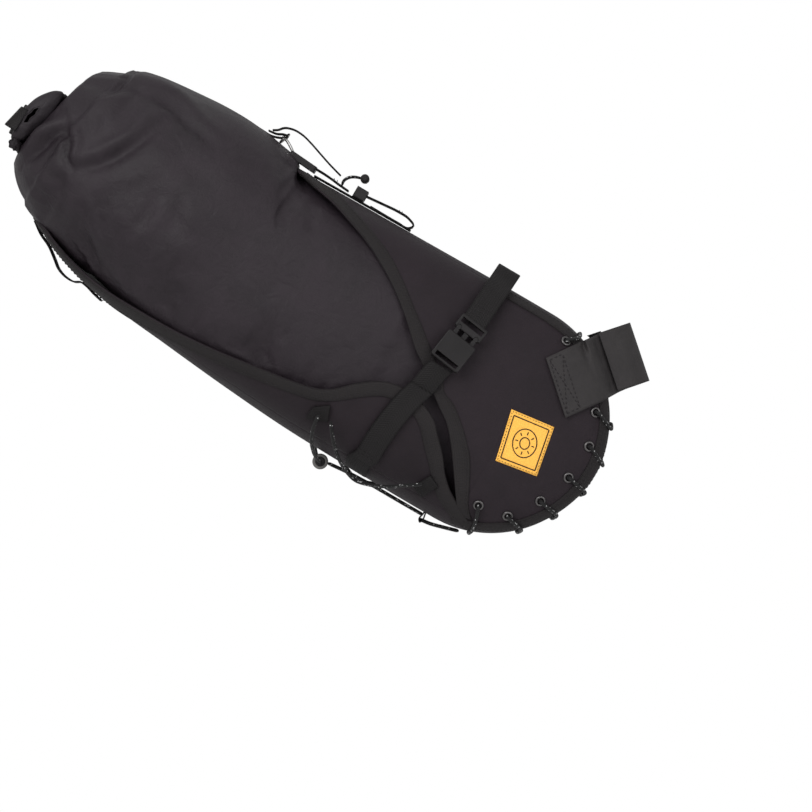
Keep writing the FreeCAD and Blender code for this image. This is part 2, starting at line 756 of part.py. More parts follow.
CORD_LOCK_X = -102
CORD_LOCK_Z = -103
# Elastic cord below the base: place along the bag, distance out, height.
CORD_REAR = [(-122, 71, -77), (-119, 60, -88), (-112, 44, -97), (-106, 24, -100.5),
             (-103, 12, -102.5)]
CORD_MIDDLE = [(-110, 73, -73), (-97, 62, -86), (-82, 46, -97), (-62, 30, -99.5),
               (-44, 46, -95), (-30, 61, -85.5)]


def make_base_cord():
    radius = size("cord_radius")
    cords = []
    for side in (RIGHT, LEFT):
        for path in (CORD_REAR, CORD_MIDDLE):
            cords.append(tube([(x, side * y, z) for x, y, z in path], radius))
    cords.append(tube([(-94, -2, -100), (-60, -2, -98.8), (-20, -2, -98.9), (10, -2, -98.3)],
                      radius))
    shape_node("base_cord", Part.makeCompound(cords))


def make_cord_lock():
    """Round spring lock on the cord, with a button pushed in from the front."""
    frame = BAG.multiply(Placement(Vector(CORD_LOCK_X, 0, CORD_LOCK_Z), Rotation(AXIS_X, 90)))
    base = (0, 0, -size("cord_lock_length") / 2)
    barrel = sized("Part::Cylinder", "cord_barrel", Radius="dims.cord_lock_radius",
                   Height="dims.cord_lock_length", base=base)
    barrel = rounded("cord_barrel", barrel, 1.2, lambda e: len(e.Vertexes) == 1)
    well = sized("Part::Cylinder", "cord_well", Radius="4.1", Height="dims.cord_lock_length",
                 base=(0, 0, base[2] + 2.5))
    finish_node(cut("cord_lock", barrel, [well]), "cord_lock", frame)
    button = sized("Part::Cylinder", "button_post", Radius="4.05", Height="5.5",
                   base=(0, 0, base[2] + 2.6 + size("button_travel")))
    button = rounded("button_post", button, 0.8, lambda e: len(e.Vertexes) == 1)
    finish_node(button, "cord_lock_button", frame)


REAR_LOOP = [(-403, -53.5), (-391, -60.5), (-380, -65), (-371, -70.5), (-365, -75.5),
             (-355, -78.5), (-346, -78.5), (-340, -77.3)]


def make_rear_loop():
    """Webbing loop under the tongue for a clip-on light."""
    shape_node("rear_loop", ribbon(REAR_LOOP, size("webbing_width"), size("webbing_ply")))


# ---------------------------------------------------------------- top straps

def make_top_webbing():
    """Webbing sewn along the top panel, and its tail held in a keeper."""
    width = size("webbing_width")
    ply = size("webbing_ply")
    lying = [(-222, 95.6), (-205, 94.8), (-180, 95.0), (-150, 95.6)]
    shape_node("top_webbing", ribbon(lying, width, ply))
    tension = [(-224.6, 99.6), (-219, 99.6), (-212, 99.2), (-206, 98.4), (-198, 97.2)]
    shape_node("tension_webbing", ribbon(tension, width, ply))
    tail = [(-176, 101.5), (-163, 102.8), (-145, 103.4), (-136.5, 101.6), (-135.5, 99.4),
            (-142, 98.0), (-160, 97.9), (-176, 98.2)]
    shape_node("tail_loop", ribbon(tail, width, ply))


def make_keeper():
    """Plastic ring that gathers the webbing."""
    outer = sized("Part::Box", "keeper_outer", base=(-189, -13, 96.2), Length="10", Width="26",
                  Height="9.6")
    outer = rounded("keeper", outer, 1.5, lambda e: e.BoundBox.XLength > 9)
    inner = sized("Part::Box", "keeper_inner", base=(-200, -11, 98.0), Length="30", Width="22",
                  Height="6")
    finish_node(cut("keeper", outer, [inner]), "keeper", BAG)


LADDER_LOCK = BAG.multiply(Placement(Vector(-238, 0, 97.6), Rotation(AXIS_Y, 4)))
HOOK_BAR = (-8.9, 2.8)             # in the lock's frame: along it, and above its underside


def make_ladder_lock():
    """Tension lock: a plate with webbing slots and a slot and notch for the wire hook."""
    body = doc.addObject("PartDesign::Body", "ladder_lock_body")
    plane = next(f for f in body.Origin.OriginFeatures if f.Role == "XY_Plane")

    def rectangle(name, low_x, high_x, half_y):
        sketch = body.newObject("Sketcher::SketchObject", name)
        sketch.AttachmentSupport = [(plane, "")]
        sketch.MapMode = "FlatFace"
        corners = [Vector(low_x, -half_y, 0), Vector(high_x, -half_y, 0),
                   Vector(high_x, half_y, 0), Vector(low_x, half_y, 0)]
        for start, end in zip(corners, corners[1:] + corners[:1]):
            sketch.addGeometry(Part.LineSegment(start, end), False)
        return sketch

    length = size("lock_length")
    plate = body.newObject("PartDesign::Pad", "plate")
    plate.Profile = rectangle("plate_outline", -length / 2, length / 2, size("lock_width") / 2)
    plate.setExpression("Length", "dims.lock_depth")
    doc.recompute()
    slot_half = size("lock_slot") / 2
    hook_x = HOOK_BAR[0]
    for name, low, high, half in (("front_slot", 3.5, 7.3, slot_half),
                                  ("rear_slot", -4.4, 0.2, slot_half),
                                  ("hook_slot", hook_x - 1.3, hook_x + 1.3, slot_half),
                                  ("stem_notch", -length, hook_x, 2.2)):
        pocket = body.newObject("PartDesign::Pocket", name)
        pocket.Profile = rectangle(f"{name}_outline", low, high, half)
        pocket.Type = 1
        pocket.Reversed = True
        doc.recompute()
    base = body.Tip
    edges = [f"Edge{i}" for i, e in enumerate(base.Shape.Edges, 1)
             if e.BoundBox.ZLength > 4 and abs(abs(e.CenterOfMass.x) - length / 2) < 0.1
             and abs(e.CenterOfMass.y) > slot_half]
    corners = body.newObject("PartDesign::Fillet", "corners")
    corners.Base = (base, edges)
    corners.Radius = 2.5
    doc.recompute()
    finish_node(body, "ladder_lock", LADDER_LOCK)


def make_hook():
    """Bent wire hook from the ladder lock to the dry bag's ring."""
    radius = size("hook_wire")
    half = size("lock_slot") / 2 - 1
    bar = BAG.inverse().multVec(LADDER_LOCK.multVec(Vector(HOOK_BAR[0], 0, HOOK_BAR[1])))
    rod = Part.makeCylinder(radius, 2 * half, bar - AXIS_Y * half, AXIS_Y)
    stem = tube([tuple(bar), (-251.5, 0, 104.6), (-257, 0, 107.9), (-263, 0, 109.9)], radius)
    shape_node("top_hook", rod.fuse(stem).removeSplitter())


def make_toggle():
    """Small barrel on a cord loop that tightens the top straps."""
    cord = tube([(-199, 4, 101.2), (-200, 4, 106), (-194.4, 3, 110.3), (-191.2, 0, 110.3),
                 (-194.4, -3, 110.3), (-200, -4, 106), (-199, -4, 101.2)], size("cord_radius") * 0.7)
    shape_node("toggle_cord", cord)
    frame = BAG.multiply(Placement(Vector(-187.4, 0, 113.8), Rotation(AXIS_X, 90)))
    base = (0, 0, -size("toggle_length") / 2)
    barrel = sized("Part::Cylinder", "toggle_outer", base=base, Radius="dims.toggle_radius",
                   Height="dims.toggle_length")
    barrel = rounded("toggle", barrel, 1.0, lambda e: len(e.Vertexes) == 1)
    well = sized("Part::Cylinder", "toggle_well", Radius="2.35", Height="dims.toggle_length",
                 base=(0, 0, base[2] + 2.5))
    finish_node(cut("toggle_barrel", barrel, [well]), "toggle_barrel", frame)
    button = sized("Part::Cylinder", "toggle_post", Radius="2.3", Height="7",
                   base=(0, 0, base[2] + 2.6 + size("button_travel")))
    button = rounded("toggle_post", button, 0.6, lambda e: len(e.Vertexes) == 1)
    finish_node(button, "toggle_button", frame)


# ---------------------------------------------------------------- dry bag

REAR_TOP = (-415, 79)              # the two corners of the flat rear end
REAR_BOTTOM = (-438, -20)


def make_dry_bag():
    whole = loft(DRY_BAG, 0.0)
    (x0, z0), (x1, z1) = REAR_TOP, REAR_BOTTOM
    slope = (x0 - x1) / (z0 - z1)
    behind = slab([(x1 + slope * (-90 - z1), -90), (x0 + slope * (150 - z0), 150)],
                  [(-520, 150), (-520, -90)], -150, 150)
    shape_node("dry_bag", whole.cut(behind))


def make_dry_bag_straps():
    """Webbing tab with a ring, and the long tail that lies forward over the holster."""
    width = size("webbing_width")
    ply = size("webbing_ply")
    tab = [(-300, 105.4), (-285, 105.4), (-275, 105.2), (-270, 105.2)]
    shape_node("dry_bag_tab", ribbon(tab, width, ply))
    tail = [(-269, 110.5), (-267, 115), (-260, 118), (-250, 118), (-230, 113.5), (-212, 108.2)]
    shape_node("dry_bag_tail", ribbon(tail, width / 2, ply))
    ring = Part.makeTorus(size("ring_radius"), size("ring_wire"), Vector(-260.5, 0, 109.1),
                          Vector(-0.95, 0, 0.31))
    shape_node("dry_bag_ring", ring)


# The rolled neck, end on: it stands against the bag's flat rear end.
ROLL_FRONT = [(-425.5, 50), (-437.6, -5)]
ROLL_END_BACK = [(-438.8, -11), (-448, -8.5), (-454, 2), (-454.8, 14), (-449.5, 30), (-436, 42)]
ROLL_MIDDLE_BACK = [(-441, -8), (-443, 2), (-440, 22), (-433, 42)]
ROLL_END_INNER = 46


def make_roll_top():
    """Neck rolled down and bent back at both ends, where its buckle closes it."""
    half = size("neck_half")
    middle = slab(ROLL_MIDDLE_BACK, ROLL_FRONT, -half, half)
    ends = [side_slab(ROLL_END_BACK, ROLL_FRONT, side, ROLL_END_INNER, half)
            for side in (RIGHT, LEFT)]
    shape_node("roll_top", middle.fuse(ends).removeSplitter())


ROLL_BUCKLE = (-453.2, -9, 12)


def make_roll_buckle():
    """Buckle across the back of the roll: its strap runs along y and it faces rearward."""
    turn = FreeCAD.Matrix(0, 0, -1, ROLL_BUCKLE[0] + size("buckle_depth"),
                          0, 1, 0, ROLL_BUCKLE[1],
                          1, 0, 0, ROLL_BUCKLE[2], 0, 0, 0, 1)
    make_buckle("roll_buckle", BAG.multiply(Placement(turn)))


# ---------------------------------------------------------------- assembly

for side in (RIGHT, LEFT):
    make_side_panel(side)
    make_wing_panel(side)
    make_front_binding(side)
    make_wing_binding(side)
    make_nose_binding(side)
    make_side_webbing(side)
    make_buckle(f"buckle_{side_name(side)}", side_buckle_frame(side))
    make_rail_webbing(side)
    make_post_patch(side)

make_top_panel()
make_nose_gusset()
make_base_panel()
make_base_stiffener()
make_eyelets()
make_nose_lace()
make_label_patch()
make_post_pad()
make_post_straps()
make_post_flap()
make_hook_patch()
make_cord_tabs()
make_base_cord()
make_cord_lock()
make_rear_loop()
make_top_webbing()
make_keeper()
make_ladder_lock()
make_hook()
make_toggle()
make_dry_bag()
make_dry_bag_straps()
make_roll_top()
make_roll_buckle()

doc.recompute()
for obj in doc.Objects:
    if "Invalid" in obj.State or "Error" in obj.State:
        raise RuntimeError(f"{obj.Label} failed: {obj.State}")
for obj in nodes:
    if obj.Shape.isNull() or not obj.Shape.isValid() or not obj.Shape.Solids:
        raise RuntimeError(f"{obj.Label} has no valid solid")

os.makedirs("parts", exist_ok=True)
for obj in nodes:
    obj.Shape.exportStep(f"parts/{obj.Label}.step")
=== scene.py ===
import json
import math
import random

import bmesh
import bpy
import numpy as np
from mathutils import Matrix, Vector


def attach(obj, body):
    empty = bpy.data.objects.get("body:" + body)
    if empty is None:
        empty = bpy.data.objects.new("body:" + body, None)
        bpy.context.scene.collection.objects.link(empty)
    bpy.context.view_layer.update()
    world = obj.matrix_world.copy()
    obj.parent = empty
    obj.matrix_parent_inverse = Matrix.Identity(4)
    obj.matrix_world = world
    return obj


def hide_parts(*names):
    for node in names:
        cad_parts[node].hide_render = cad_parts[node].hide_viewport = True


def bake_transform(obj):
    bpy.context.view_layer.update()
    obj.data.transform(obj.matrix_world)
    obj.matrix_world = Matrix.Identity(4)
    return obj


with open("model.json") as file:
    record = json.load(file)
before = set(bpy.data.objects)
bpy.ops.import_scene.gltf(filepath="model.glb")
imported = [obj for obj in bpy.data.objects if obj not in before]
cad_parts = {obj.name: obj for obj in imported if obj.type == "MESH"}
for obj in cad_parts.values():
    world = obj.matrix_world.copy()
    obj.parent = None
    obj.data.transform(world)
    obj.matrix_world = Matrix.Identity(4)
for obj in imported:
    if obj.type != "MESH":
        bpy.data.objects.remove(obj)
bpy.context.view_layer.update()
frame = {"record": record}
mounts = {m["name"]: m for m in frame["record"]["mounts"]}

# ------------------------------------------------------------------ frames
# Pieces are drawn in millimetres in the bag's own frame (x forward along the bag, z across it,
# origin at the nose centre) or the post's frame, then placed in the row frame in metres.

MM = 0.001
TILT = math.radians(30.5)
NOSE = np.array([-102.5, 0.0, -49.8])
POST_LEAN = math.atan2(-mounts["seatpost"]["axis"][0], mounts["seatpost"]["axis"][2])
RIGHT, LEFT = -1, 1
SIDE_NAME = {RIGHT: "right", LEFT: "left"}


def place(points, angle, origin):
    p = np.asarray(points, float)
    c, s = math.cos(angle), math.sin(angle)
    out = np.empty_like(p)
    out[..., 0] = origin[0] + p[..., 0] * c + p[..., 2] * s
    out[..., 1] = origin[1] + p[..., 1]
    out[..., 2] = origin[2] - p[..., 0] * s + p[..., 2] * c
    return out * MM


def bag(points):
    return place(points, TILT, NOSE)


def post(points):
    return place(points, -POST_LEAN, (0.0, 0.0, 0.0))


def unit(v):
    v = np.asarray(v, float)
    return v / np.maximum(np.linalg.norm(v, axis=-1, keepdims=True), 1e-9)


# ------------------------------------------------------------------ curves

def hermite(knots, x):
    """Smooth interpolation through rows of (place, value, value...)."""
    k = np.asarray(knots, float)
    xs, ys = k[:, 0], k[:, 1:]
    slope = np.zeros_like(ys)
    step = np.diff(xs)[:, None]
    rate = np.diff(ys, axis=0) / step
    slope[0], slope[-1] = rate[0], rate[-1]
    slope[1:-1] = (rate[:-1] * step[1:] + rate[1:] * step[:-1]) / (step[:-1] + step[1:])
    x = np.clip(np.asarray(x, float), xs[0], xs[-1])
    i = np.clip(np.searchsorted(xs, x, side="right") - 1, 0, len(xs) - 2)
    w = (xs[i + 1] - xs[i])[..., None]
    t = ((x - xs[i])[..., None]) / w
    a, b, m0, m1 = ys[i], ys[i + 1], slope[i] * w, slope[i + 1] * w
    out = ((2 * t ** 3 - 3 * t ** 2 + 1) * a + (t ** 3 - 2 * t ** 2 + t) * m0
           + (3 * t ** 2 - 2 * t ** 3) * b + (t ** 3 - t ** 2) * m1)
    return out[..., 0] if out.shape[-1] == 1 else out


def arc_lengths(points):
    """The length along a line, at each of its points."""
    return np.concatenate([[0], np.cumsum(np.linalg.norm(np.diff(points, axis=0), axis=1))])


def smooth_line(points, count):
    """count points evenly spaced along a smooth curve through points."""
    p = np.asarray(points, float)
    at = arc_lengths(p)
    fine = hermite(np.column_stack([at, p]), np.linspace(0, at[-1], 16 * len(p)))
    return resample(fine, count)


def resample(points, count):
    """count points evenly spaced along straight steps."""
    p = np.asarray(points, float)
    at = arc_lengths(p)
    want = np.linspace(0, at[-1], count)
    return np.column_stack([np.interp(want, at, p[:, k]) for k in range(p.shape[1])])


def between(a, b, share):
    return np.asarray(a, float) * (1 - share) + np.asarray(b, float) * share


def smooth_step(t):
    t = np.clip(t, 0, 1)
    return t * t * (3 - 2 * t)


def length_of(points):
    return float(np.linalg.norm(np.diff(np.asarray(points, float), axis=0), axis=1).sum())


# ------------------------------------------------------------------ the bag's surfaces

NOSE_RADIUS = 95.5
NOSE_STRETCH = 0.985
# place along the bag, top, bottom, half width, squareness
HOLSTER_ROWS = [
    (-404, 90, -49, 62, 3.4), (-380, 91, -61, 70, 3.4), (-350, 91, -71.5, 76, 3.3),
    (-310, 92, -79.5, 82, 3.1), (-260, 92, -84.5, 85, 3.0), (-200, 93.5, -90, 82, 2.8),
    (-140, 94.5, -94, 78.5, 2.75), (-80, 95.5, -95.2, 72.5, 2.85),
    (-30, 96.2, -95.6, 65.3, 3.05), (0, 96.2, -95.5, 61.4, 3.25)]
# The sides carry on round the nose: arc length, half width, squareness.
NOSE_ROWS = [(30, 57.5, 3.5), (54, 54.0, 3.7), (74, 50.8, 3.8), (94, 47.4, 3.8),
             (114, 44.0, 3.65), (134, 40.7, 3.4), (150, 38.5, 3.2)]
SIDE_ROWS = [(row[0], row[3], row[4]) for row in HOLSTER_ROWS] + NOSE_ROWS


def core_of(points):
    """The place on the bag's middle line that each point surrounds."""
    return np.minimum(points, 0.0) * (1.0, 0.0, 0.0)


class Holster:
    """Closed surface addressed by s (mm forward, then arc length round the nose) and theta
    (0 at the top, 90 degrees at the side, 180 underneath)."""

    end = NOSE_RADIUS * math.pi / 2

    def rows(self, s):
        s = np.asarray(s, float)
        body = hermite(HOLSTER_ROWS, np.minimum(s, 0))
        turn = np.clip(s, 0, self.end) / NOSE_RADIUS
        sides = hermite(SIDE_ROWS, s)
        ahead = s > 0
        x = np.where(ahead, NOSE_RADIUS * NOSE_STRETCH * np.sin(turn), s)
        top = np.where(ahead, NOSE_RADIUS * np.cos(turn) + 0.7, body[..., 0])
        bottom = np.where(ahead, -NOSE_RADIUS * np.cos(turn), body[..., 1])
        width, square = sides[..., 0], sides[..., 1]
        return x, top, bottom, width, square

    def point(self, s, theta):
        s, theta = np.broadcast_arrays(np.asarray(s, float), np.asarray(theta, float))
        x, top, bottom, width, square = self.rows(s)
        power = 2 / square
        across, rise = np.sin(theta), np.cos(theta)
        y = width * np.sign(across) * np.abs(across) ** power
        z = (top + bottom) / 2 + (top - bottom) / 2 * np.sign(rise) * np.abs(rise) ** power
        return np.stack([x, y, z], -1)

    def normal(self, s, theta):
        s, theta = np.broadcast_arrays(np.asarray(s, float), np.asarray(theta, float))
        ds, dt = 1.5, 0.03
        along = self.point(np.minimum(s + ds, self.end - 0.01), theta) - self.point(s - ds, theta)
        round_ = self.point(s, theta + dt) - self.point(s, theta - dt)
        n = unit(np.cross(round_, along))
        p = self.point(s, theta)
        flip = np.sign((n * (p - core_of(p))).sum(-1, keepdims=True))
        return n * np.where(flip == 0, 1, flip)

    def at(self, s, theta, lift=0.0):
        return self.point(s, theta) + self.normal(s, theta) * np.asarray(lift)[..., None]

    def s_of(self, x):
        x = np.asarray(x, float)
        turn = np.arcsin(np.clip(x / (NOSE_RADIUS * NOSE_STRETCH), -1, 1))
        return np.where(x > 0, turn * NOSE_RADIUS, x)

    def theta_of(self, x, z):
        """The angle of a side-view position; the right side is negative theta."""
        s = self.s_of(x)
        _, top, bottom, _, square = self.rows(s)
        level = (np.asarray(z, float) - (top + bottom) / 2) / ((top - bottom) / 2)
        level = np.clip(level, -0.9999, 0.9999)
        return np.arccos(np.sign(level) * np.abs(level) ** (square / 2))

    def theta_at_y(self, s, y, under):
        _, _, _, width, square = self.rows(s)
        turn = np.arcsin(np.clip(y / width, 0, 0.999) ** (square / 2))
        return math.pi - turn if under else turn

    def side(self, x, z, side, lift=0.0):
        return self.at(self.s_of(x), side * self.theta_of(x, z), lift)


holster = Holster()


# ------------------------------------------------------------------ mesh builders

def joined(mesh, distance):
    """Merge the mesh's points that lie within a distance, and turn its faces outward."""
    bm = bmesh.new()
    bm.from_mesh(mesh)
    if distance:
        bmesh.ops.remove_doubles(bm, verts=bm.verts, dist=distance)
    bmesh.ops.recalc_face_normals(bm, faces=bm.faces)
    bm.to_mesh(mesh)
    bm.free()


def new_piece(name, verts, faces, material, body="holster", uvs=None, replaces=(), slot=None,
              smooth=True):
    """A visual piece that rides on a body, or stays fixed where it is drawn, on no body, if body is
    a tuple.
    """
    mesh = bpy.data.meshes.new(name)
    mesh.from_pydata([tuple(v) for v in verts], [], faces)
    if uvs is not None:
        layer = mesh.uv_layers.new(name="UVMap")
        loops = np.zeros(len(mesh.loops), np.int32)
        mesh.loops.foreach_get("vertex_index", loops)
        layer.data.foreach_set("uv", np.asarray(uvs, float)[loops].ravel())
    mesh.materials.append(material)
    mesh.validate()
    joined(mesh, 1e-6)
    for p in mesh.polygons:
        p.use_smooth = smooth
    obj = bpy.data.objects.new(name, mesh)
    bpy.context.scene.collection.objects.link(obj)
    if isinstance(body, tuple):
        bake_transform(obj)
    else:
        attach(obj, body)
    if replaces:
        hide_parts(*replaces)
    return obj


def grid_faces(nu, nv, wrap_v=False, base=0):
    faces = []
    for i in range(base, base + (nu - 1) * nv, nv):
        for j in range(nv if wrap_v else nv - 1):
            k = (j + 1) % nv
            faces.append((i + j, i + nv + j, i + nv + k, i + k))
    return faces


def tube_faces(count, ring, base=0):
    """Faces through closed rings of points, with a cap at both ends."""
    last = base + (count - 1) * ring
    return (grid_faces(count, ring, True, base) + [tuple(range(base, base + ring))]
            + [tuple(last + j for j in reversed(range(ring)))])


def uv_mesh(along, around):
    """Texture places in metres for rings of points."""
    return np.stack(np.meshgrid(along, around, indexing="ij"), -1).reshape(-1, 2) * MM


def lengths_down(p):
    """Length along each row of a grid of points."""
    steps = np.linalg.norm(np.diff(p, axis=1), axis=-1)
    return np.concatenate([np.zeros((len(p), 1)), np.cumsum(steps, axis=1)], axis=1)


def grid_uv(p):
    """Arc lengths in metres along both directions of a grid of points in mm."""
    du = np.linalg.norm(np.diff(p, axis=0), axis=-1).mean(1)
    u = np.concatenate([[0], np.cumsum(du)])[:, None] * np.ones(p.shape[1])
    v = lengths_down(p)
    v = v - v[:, v.shape[1] // 2][:, None]
    return np.stack([u, v], -1) * MM


def level_uv(points, anchor):
    """Lengths in metres along x and down each row, level with the row's first or last point."""
    p = np.asarray(points, float)
    down = lengths_down(p)
    down = down - (down[:, anchor] + p[:, anchor, 2])[:, None]
    return np.stack([p[..., 0], down], -1) * MM


def sheet(name, points, thickness, material, body="holster", frame_of=bag, outward=None,
          uv=None, **extra):
    """A closed layer of cloth: the grid is its outside, and a second grid lies inside it."""
    p = np.asarray(points, float)
    nu, nv = p.shape[:2]
    n = grid_normals(p) if outward is None else outward
    verts = np.concatenate([p.reshape(-1, 3), (p - n * thickness).reshape(-1, 3)])
    count = nu * nv
    faces = grid_faces(nu, nv)
    faces += [tuple(count + i for i in reversed(f)) for f in faces]
    rim = ([i * nv for i in range(nu)] + [(nu - 1) * nv + j for j in range(1, nv)]
           + [i * nv + nv - 1 for i in range(nu - 2, -1, -1)] + list(range(nv - 2, 0, -1)))
    for a, b in zip(rim, rim[1:] + rim[:1]):
        faces.append((b, a, count + a, count + b))
    uv = (grid_uv(p) if uv is None else uv).reshape(-1, 2)
    return new_piece(name, frame_of(verts), faces, material, body,
                     uvs=np.concatenate([uv, uv]), **extra)


def flat_normals(p):
    return unit(np.cross(np.gradient(p, axis=0), np.gradient(p, axis=1)))


def grid_normals(p):
    """Normals of a grid of points, away from the bag's middle line."""
    n = flat_normals(p)
    return n if (n * (p - core_of(p))).sum() >= 0 else -n


def loop_sweep(name, rings, material, body="holster", uvs=None, **extra):
    """A solid through closed rings of points (count, ring, 3), capped at both ends."""
    r = np.asarray(rings, float)
    count, ring = r.shape[:2]
    if uvs is None:
        around = np.linspace(0, length_of(np.vstack([r[0], r[0][:1]])), ring, endpoint=False)
        uvs = uv_mesh(arc_lengths(r.mean(1)), around)
    return new_piece(name, bag(r.reshape(-1, 3)), tube_faces(count, ring), material, body,
                     uvs=uvs, **extra)


def frames_along(p):
    """Side and normal at each point of a path, turning as little as possible."""
    t = unit(np.gradient(p, axis=0))
    n = np.zeros_like(p)
    first = np.array((0.0, 0.0, 1.0))
    n[0] = unit(first - t[0] * first.dot(t[0]))
    for i in range(1, len(p)):
        n[i] = unit(n[i - 1] - t[i] * n[i - 1].dot(t[i]))
    return np.cross(t, n), n


CORD_AROUND = 12                   # points round a cord
CORD_STEP = 1.2                    # mm between its rings


def cord(name, paths, radius, replaced):
    """Round elastic cord through each path; all of them are one piece."""
    verts, faces, uvs = [], [], []
    turn = np.linspace(0, 2 * math.pi, CORD_AROUND, endpoint=False)
    for path in paths:
        fine = smooth_line(path, max(8, int(length_of(path) / CORD_STEP)))
        b, n = frames_along(fine)
        ring = (b[:, None] * np.cos(turn)[None, :, None] + n[:, None] * np.sin(turn)[None, :, None])
        scale = np.full(len(fine), radius)
        scale[[0, -1]] = radius * 0.55
        scale[[1, -2]] = radius * 0.9
        faces += tube_faces(len(fine), CORD_AROUND, len(verts))
        verts.extend((fine[:, None] + ring * scale[:, None, None]).reshape(-1, 3))
        uvs.extend(uv_mesh(arc_lengths(fine), turn * radius))
    return new_piece(name, bag(np.array(verts)), faces, ELASTIC, uvs=uvs, replaces=(replaced,))


# Webbing's section: half of its width and the height in plies.
STRAP_PROFILE = np.array([
    (-1, 0.5), (-0.97, 0.92), (-0.9, 1.0), (-0.45, 1.0), (0, 1.0), (0.45, 1.0), (0.9, 1.0),
    (0.97, 0.92), (1, 0.5), (0.97, 0.08), (0.9, 0), (0.45, 0), (0, 0), (-0.45, 0), (-0.9, 0),
    (-0.97, 0.08)])


def strap(name, path, width, ply, body="holster", across=(0, 1, 0), spacing=2.0, **extra):
    """Flat webbing along a path, `across` its width; its underside follows the path."""
    fine = smooth_line(path, max(8, int(length_of(path) / spacing)))
    t = unit(np.gradient(fine, axis=0))
    a = np.broadcast_to(np.asarray(across, float), fine.shape)
    a = unit(a - t * (a * t).sum(1, keepdims=True))
    n = np.cross(t, a)
    rings = (fine[:, None] + a[:, None] * (STRAP_PROFILE[None, :, 0:1] * width / 2)
             + n[:, None] * (STRAP_PROFILE[None, :, 1:2] * ply))
    return loop_sweep(name, rings, WEBBING, body, **extra)


# A stitch's rings: share of its length, rise and thickness.
STITCH_SHAPE = [(0.0, -0.25, 0.35), (0.18, 0.55, 0.85), (0.5, 0.8, 1.0), (0.82, 0.55, 0.85),
                (1.0, -0.25, 0.35)]
STITCH_AROUND = 6
STITCH_PARTS = 8                   # steps in a stitch with the gap behind it


def stitches(name, lines, slot, body="holster", frame_of=bag, length=2.5, gap=1.1, radius=0.3):
    """Rows of thread: each stitch is a small capsule that dips into the cloth at its ends.

    Each line is (points, normals)."""
    verts, faces = [], []
    reach = int(STITCH_PARTS * length / (length + gap))
    for points, normals in lines:
        count = max(1, int(length_of(points) / (length + gap)))
        fine = resample(np.column_stack([points, normals]), count * STITCH_PARTS + 1)
        for k in range(0, count * STITCH_PARTS, STITCH_PARTS):
            a, b = fine[k], fine[k + reach]
            d = b[:3] - a[:3]
            up = unit((a[3:] + b[3:]) / 2)
            side = unit(np.cross(d, up))
            faces += tube_faces(len(STITCH_SHAPE), STITCH_AROUND, len(verts))
            for share, rise, thick in STITCH_SHAPE:
                centre = a[:3] + d * share + up * radius * rise
                for q in range(STITCH_AROUND):
                    turn = q * 2 * math.pi / STITCH_AROUND
                    verts.append(centre + (side * math.cos(turn) + up * math.sin(turn))
                                 * radius * thick)
    return new_piece(name, frame_of(np.array(verts)), faces, THREAD, body, slot=slot)


def banded(name, outer, inner, lift, ply, replaces, bow=0.0):
    """Tape between two lines of (s, theta) on the holster, with rounded edges."""
    across, height = STRAP_PROFILE.T
    o, i = np.asarray(outer, float), np.asarray(inner, float)
    where = between(o[:, None], i[:, None], ((across + 1) / 2)[None, :, None])
    up = lift + height * ply + bow * (1 - across ** 2) * (height > 0.4)
    rings = holster.at(where[..., 0], where[..., 1], up)
    return loop_sweep(name, rings, BINDING_TAPE, replaces=replaces)


def line_on(line, lift):
    """Points and normals of a line of (s, theta) on the holster, for a row of stitches."""
    s, theta = np.asarray(line, float).T
    return holster.at(s, theta, lift), holster.normal(s, theta)


# ------------------------------------------------------------------ materials

